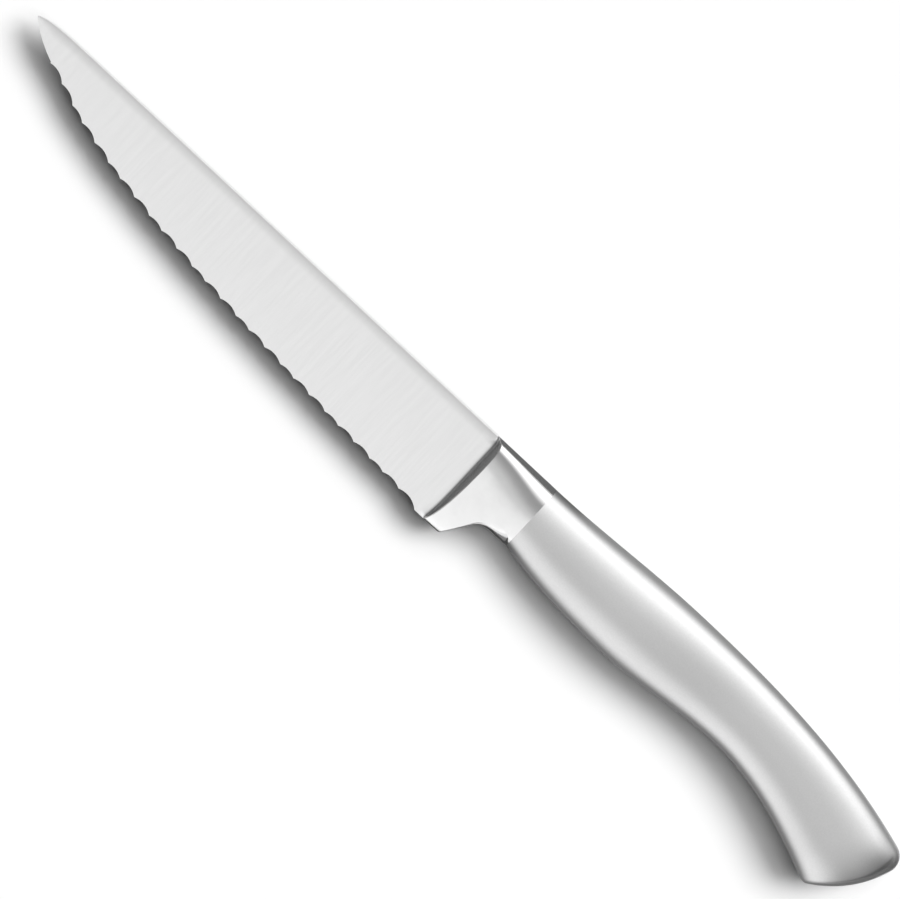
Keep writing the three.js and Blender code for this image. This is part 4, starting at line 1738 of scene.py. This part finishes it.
@dataclass(frozen=True)
class Studio:
    """Camera, light tent and floor."""

    place: KnifeFrame
    view_centre: tuple[float, float] = (-5.2, -8.3)  # drawing millimetres
    view_width: float = 173.49  # mm across the picture
    view_turn: float = 43.0  # degrees from the picture's right to the knife's length
    camera_height: float = 1200.0  # mm above the middle of the knife
    sensor: float = 36.0
    floor_size: float = 12.0  # m
    floor_colour: str = "f3f3f3"
    suns: tuple[Sun, ...] = (
        Sun("key", strength=1.84, lean=36.2, swing=40.0, spread=27.8),
        Sun("wide key", strength=2.3, lean=26.4, swing=37.0, spread=60.0),
    )
    cards: tuple[Card, ...] = (
        Card("spine", left=-150, right=22, low=0, high=120, level=0.17),
        Card("back", left=22, right=150, low=2, high=40, level=0.46),
        Card("neck", left=-6, right=16, low=-60, high=-8, level=0.07),
        Card("belly", left=16, right=150, low=-45, high=-14, level=0.25),
        Card("butt", left=118, right=260, low=-60, high=30, level=0.2),
    )
    card_lift: float = 0.2  # mm above the floor
    tent_reach: float = 120.0  # degrees from straight up to the tent's lower rims
    tent_walls: tuple[Glow, ...] = (
        Glow(angle=-120, level=1.35),
        Glow(angle=-90, level=1.35),
        Glow(angle=-60, level=1.17),
        Glow(angle=-25, level=1.1),
        Glow(angle=-9, level=1.06),
        Glow(angle=-4, level=0.955),
        Glow(angle=2, level=0.62),
        Glow(angle=12, level=0.43),
        Glow(angle=22, level=0.38),
        Glow(angle=31, level=0.38),
        Glow(angle=53, level=1.7),
        Glow(angle=84, level=1.7),
        Glow(angle=91, level=0.4),
        Glow(angle=120, level=0.4),
    )
    end_start: float = 0.3  # how far along the knife a direction leans where the tent's ends start
    end_full: float = 0.62  # and where they are darkest
    point_end_level: float = 0.15
    butt_end_level: float = 0.06
    strip_lights: tuple[Strip, ...] = (
        Strip("back strip", low=3, high=88, radiance=1.0),
        Strip("crown strip", low=20, high=60, radiance=0.35),
        Strip("belly strip", low=-100, high=-28, radiance=0.64),
    )
    strip_distance: float = 1.0  # m
    strip_length: float = 1.2  # m along the knife

    def build(self, handle: list[bpy.types.Object]) -> None:
        """Set up everything that isn't part of the knife.

        Args:
            handle: The handle's pieces, which have a light of their own.
        """
        self.camera()
        self.tent()
        self.hang_suns()
        self.floor()
        self.dark_cards()
        self.strips(handle)
        bpy.context.scene.view_settings.view_transform = "Standard"

    def camera(self) -> None:
        """Look straight down on the knife's left side."""
        data = bpy.data.cameras.new("camera")
        data.sensor_width = self.sensor
        data.lens = self.sensor * self.camera_height / self.view_width
        camera = put_in_scene("camera", data)
        camera.location = self.place.to_shared() @ Vector((*self.view_centre, self.camera_height))
        camera.rotation_euler = (0, 0, math.radians(self.view_turn))
        bpy.context.scene.camera = camera

    def tent(self) -> None:
        """Surround the knife with a light tent that its steel reflects.

        It has a bright wall on the spine's side, a dark gap above that, a paler wall on the edge's side
        and dark ends. It lights nothing but reflections, and the camera sees plain white.
        """
        world = bpy.data.worlds.new("light tent")
        bpy.context.scene.world = world
        world.use_nodes = True
        tree = world.node_tree
        tree.nodes.clear()
        toward = add_node(tree, "ShaderNodeTexCoord").outputs["Generated"]
        axes = add_node(tree, "ShaderNodeSeparateXYZ", {0: toward}).outputs
        lean = add_node(tree, MATH, {0: axes["Y"], 1: axes["Z"]}, operation="ARCTAN2").outputs[0]
        degrees = add_node(tree, MATH, {0: lean}, operation="DEGREES").outputs[0]
        share = add_node(
            tree,
            "ShaderNodeMapRange",
            {"Value": degrees, "From Min": -self.tent_reach, "From Max": self.tent_reach},
        ).outputs[0]
        walls = add_node(tree, "ShaderNodeValToRGB", {"Fac": share})
        stops = {
            (glow.angle + self.tent_reach) / (2 * self.tent_reach): (glow.level, glow.level, glow.level, 1.0)
            for glow in self.tent_walls
        }
        set_stops(walls.color_ramp, stops)
        strength = 1.0
        for side, level in ((-1, self.point_end_level), (1, self.butt_end_level)):
            span = {"From Min": side * self.end_start, "From Max": side * self.end_full}
            end = add_node(
                tree,
                "ShaderNodeMapRange",
                {"Value": axes["X"], **span, "To Min": 1.0, "To Max": level},
                interpolation_type="SMOOTHSTEP",
            ).outputs[0]
            strength = add_node(tree, MATH, {0: strength, 1: end}, operation="MULTIPLY").outputs[0]
        lit = add_node(tree, "ShaderNodeBackground", {"Color": walls.outputs[0], "Strength": strength})
        white = add_node(tree, "ShaderNodeBackground", {"Color": WHITE, "Strength": 1.0})
        seen = add_node(tree, "ShaderNodeLightPath").outputs["Is Camera Ray"]
        both = add_node(tree, "ShaderNodeMixShader", {0: seen, 1: lit.outputs[0], 2: white.outputs[0]})
        add_node(tree, "ShaderNodeOutputWorld", {"Surface": both.outputs[0]})
        world.cycles_visibility.diffuse = False
        world.cycles.sampling_method = "NONE"

    def hang_suns(self) -> None:
        """Light the floor from above the spine, so that the soft shadow falls on the edge's side."""
        for sun in self.suns:
            data = bpy.data.lights.new(sun.name, "SUN")
            data.energy = sun.strength
            data.angle = math.radians(sun.spread)
            light = put_in_scene(sun.name, data)
            lean, swing = math.radians(sun.lean), math.radians(sun.swing)
            level = math.sin(lean)
            toward = Vector((level * math.sin(swing), level * math.cos(swing), math.cos(lean)))
            light.rotation_mode = "QUATERNION"
            light.rotation_quaternion = toward.to_track_quat("Z", "Y")
            light.visible_glossy = False

    def floor(self) -> None:
        """Lay a white floor that keeps the knife's shadow and throws no light back up under the knife."""
        made, tree = node_material("white card, matt")
        depth = add_node(tree, "ShaderNodeLightPath").outputs["Diffuse Depth"]
        colour = add_node(
            tree,
            "ShaderNodeMix",
            {"Factor": depth, "A": linear(self.floor_colour), "B": BLACK},
            data_type="RGBA",
        )
        card = add_node(tree, "ShaderNodeBsdfDiffuse", {"Color": colour.outputs["Result"]})
        add_node(tree, "ShaderNodeOutputMaterial", {"Surface": card.outputs[0]})
        far = Vector((self.floor_size / 2, self.floor_size / 2, 0))
        floor = flat_sheet("floor", (-far, far), made)

    def dark_cards(self) -> None:
        """Lay dark glowing cards beside the knife: only the steel's reflections show them, as its dark rims,
        which are painted reflections.
        """
        to_shared = self.place.to_shared()
        for card in self.cards:
            made, tree = node_material(f"{card.name} card, matt")
            # Each card glows at its level and only glossy rays see it: a painted dark reflection, standing in
            # for dark surroundings and, beside the neck and belly, for the floor's shadow.
            flat = add_node(tree, "ShaderNodeEmission", {"Strength": card.level})
            add_node(tree, "ShaderNodeOutputMaterial", {"Surface": flat.outputs[0]})
            first = to_shared @ Vector((card.left, card.low, 0))
            last = to_shared @ Vector((card.right, card.high, 0))
            first.z = self.card_lift * MM
            sheet = flat_sheet(f"{card.name}_card", (first, last), made)
            for kind in ("camera", "diffuse", "shadow", "transmission"):
                setattr(sheet, f"visible_{kind}", False)

    def strips(self, handle: list[bpy.types.Object]) -> None:
        """Hang strip lights along the handle, which don't light the blade and the bolster.

        Args:
            handle: The pieces that the strips light.
        """
        lit = bpy.data.collections.new("lit by the strips")
        for piece in handle:
            lit.objects.link(piece)
        for strip in self.strip_lights:
            lean = math.radians(strip.low + strip.high) / 2
            data = bpy.data.lights.new(strip.name, "AREA")
            data.shape = "RECTANGLE"
            data.size = self.strip_length
            data.size_y = 2 * self.strip_distance * math.tan(math.radians(strip.high - strip.low) / 2)
            data.energy = math.pi * data.size * data.size_y * strip.radiance
            light = put_in_scene(strip.name, data)
            light.location = (0, self.strip_distance * math.sin(lean), self.strip_distance * math.cos(lean))
            light.rotation_euler = (-lean, 0, 0)
            light.light_linking.receiver_collection = lit


def main() -> None:
    """Build the studio and the knife's pieces in order."""
    logging.basicConfig(level=logging.INFO, format="%(name)s: %(message)s")
    neck = Neck()
    blade = Blade()
    handle = Handle(neck)
    place = KnifeFrame(blade.length)
    Forging(blade, Bolster(blade, neck), Tang(handle)).build(place)
    Studio(place).build(HollowHandle(handle).build(place))


if __name__ == "__main__":
    main()
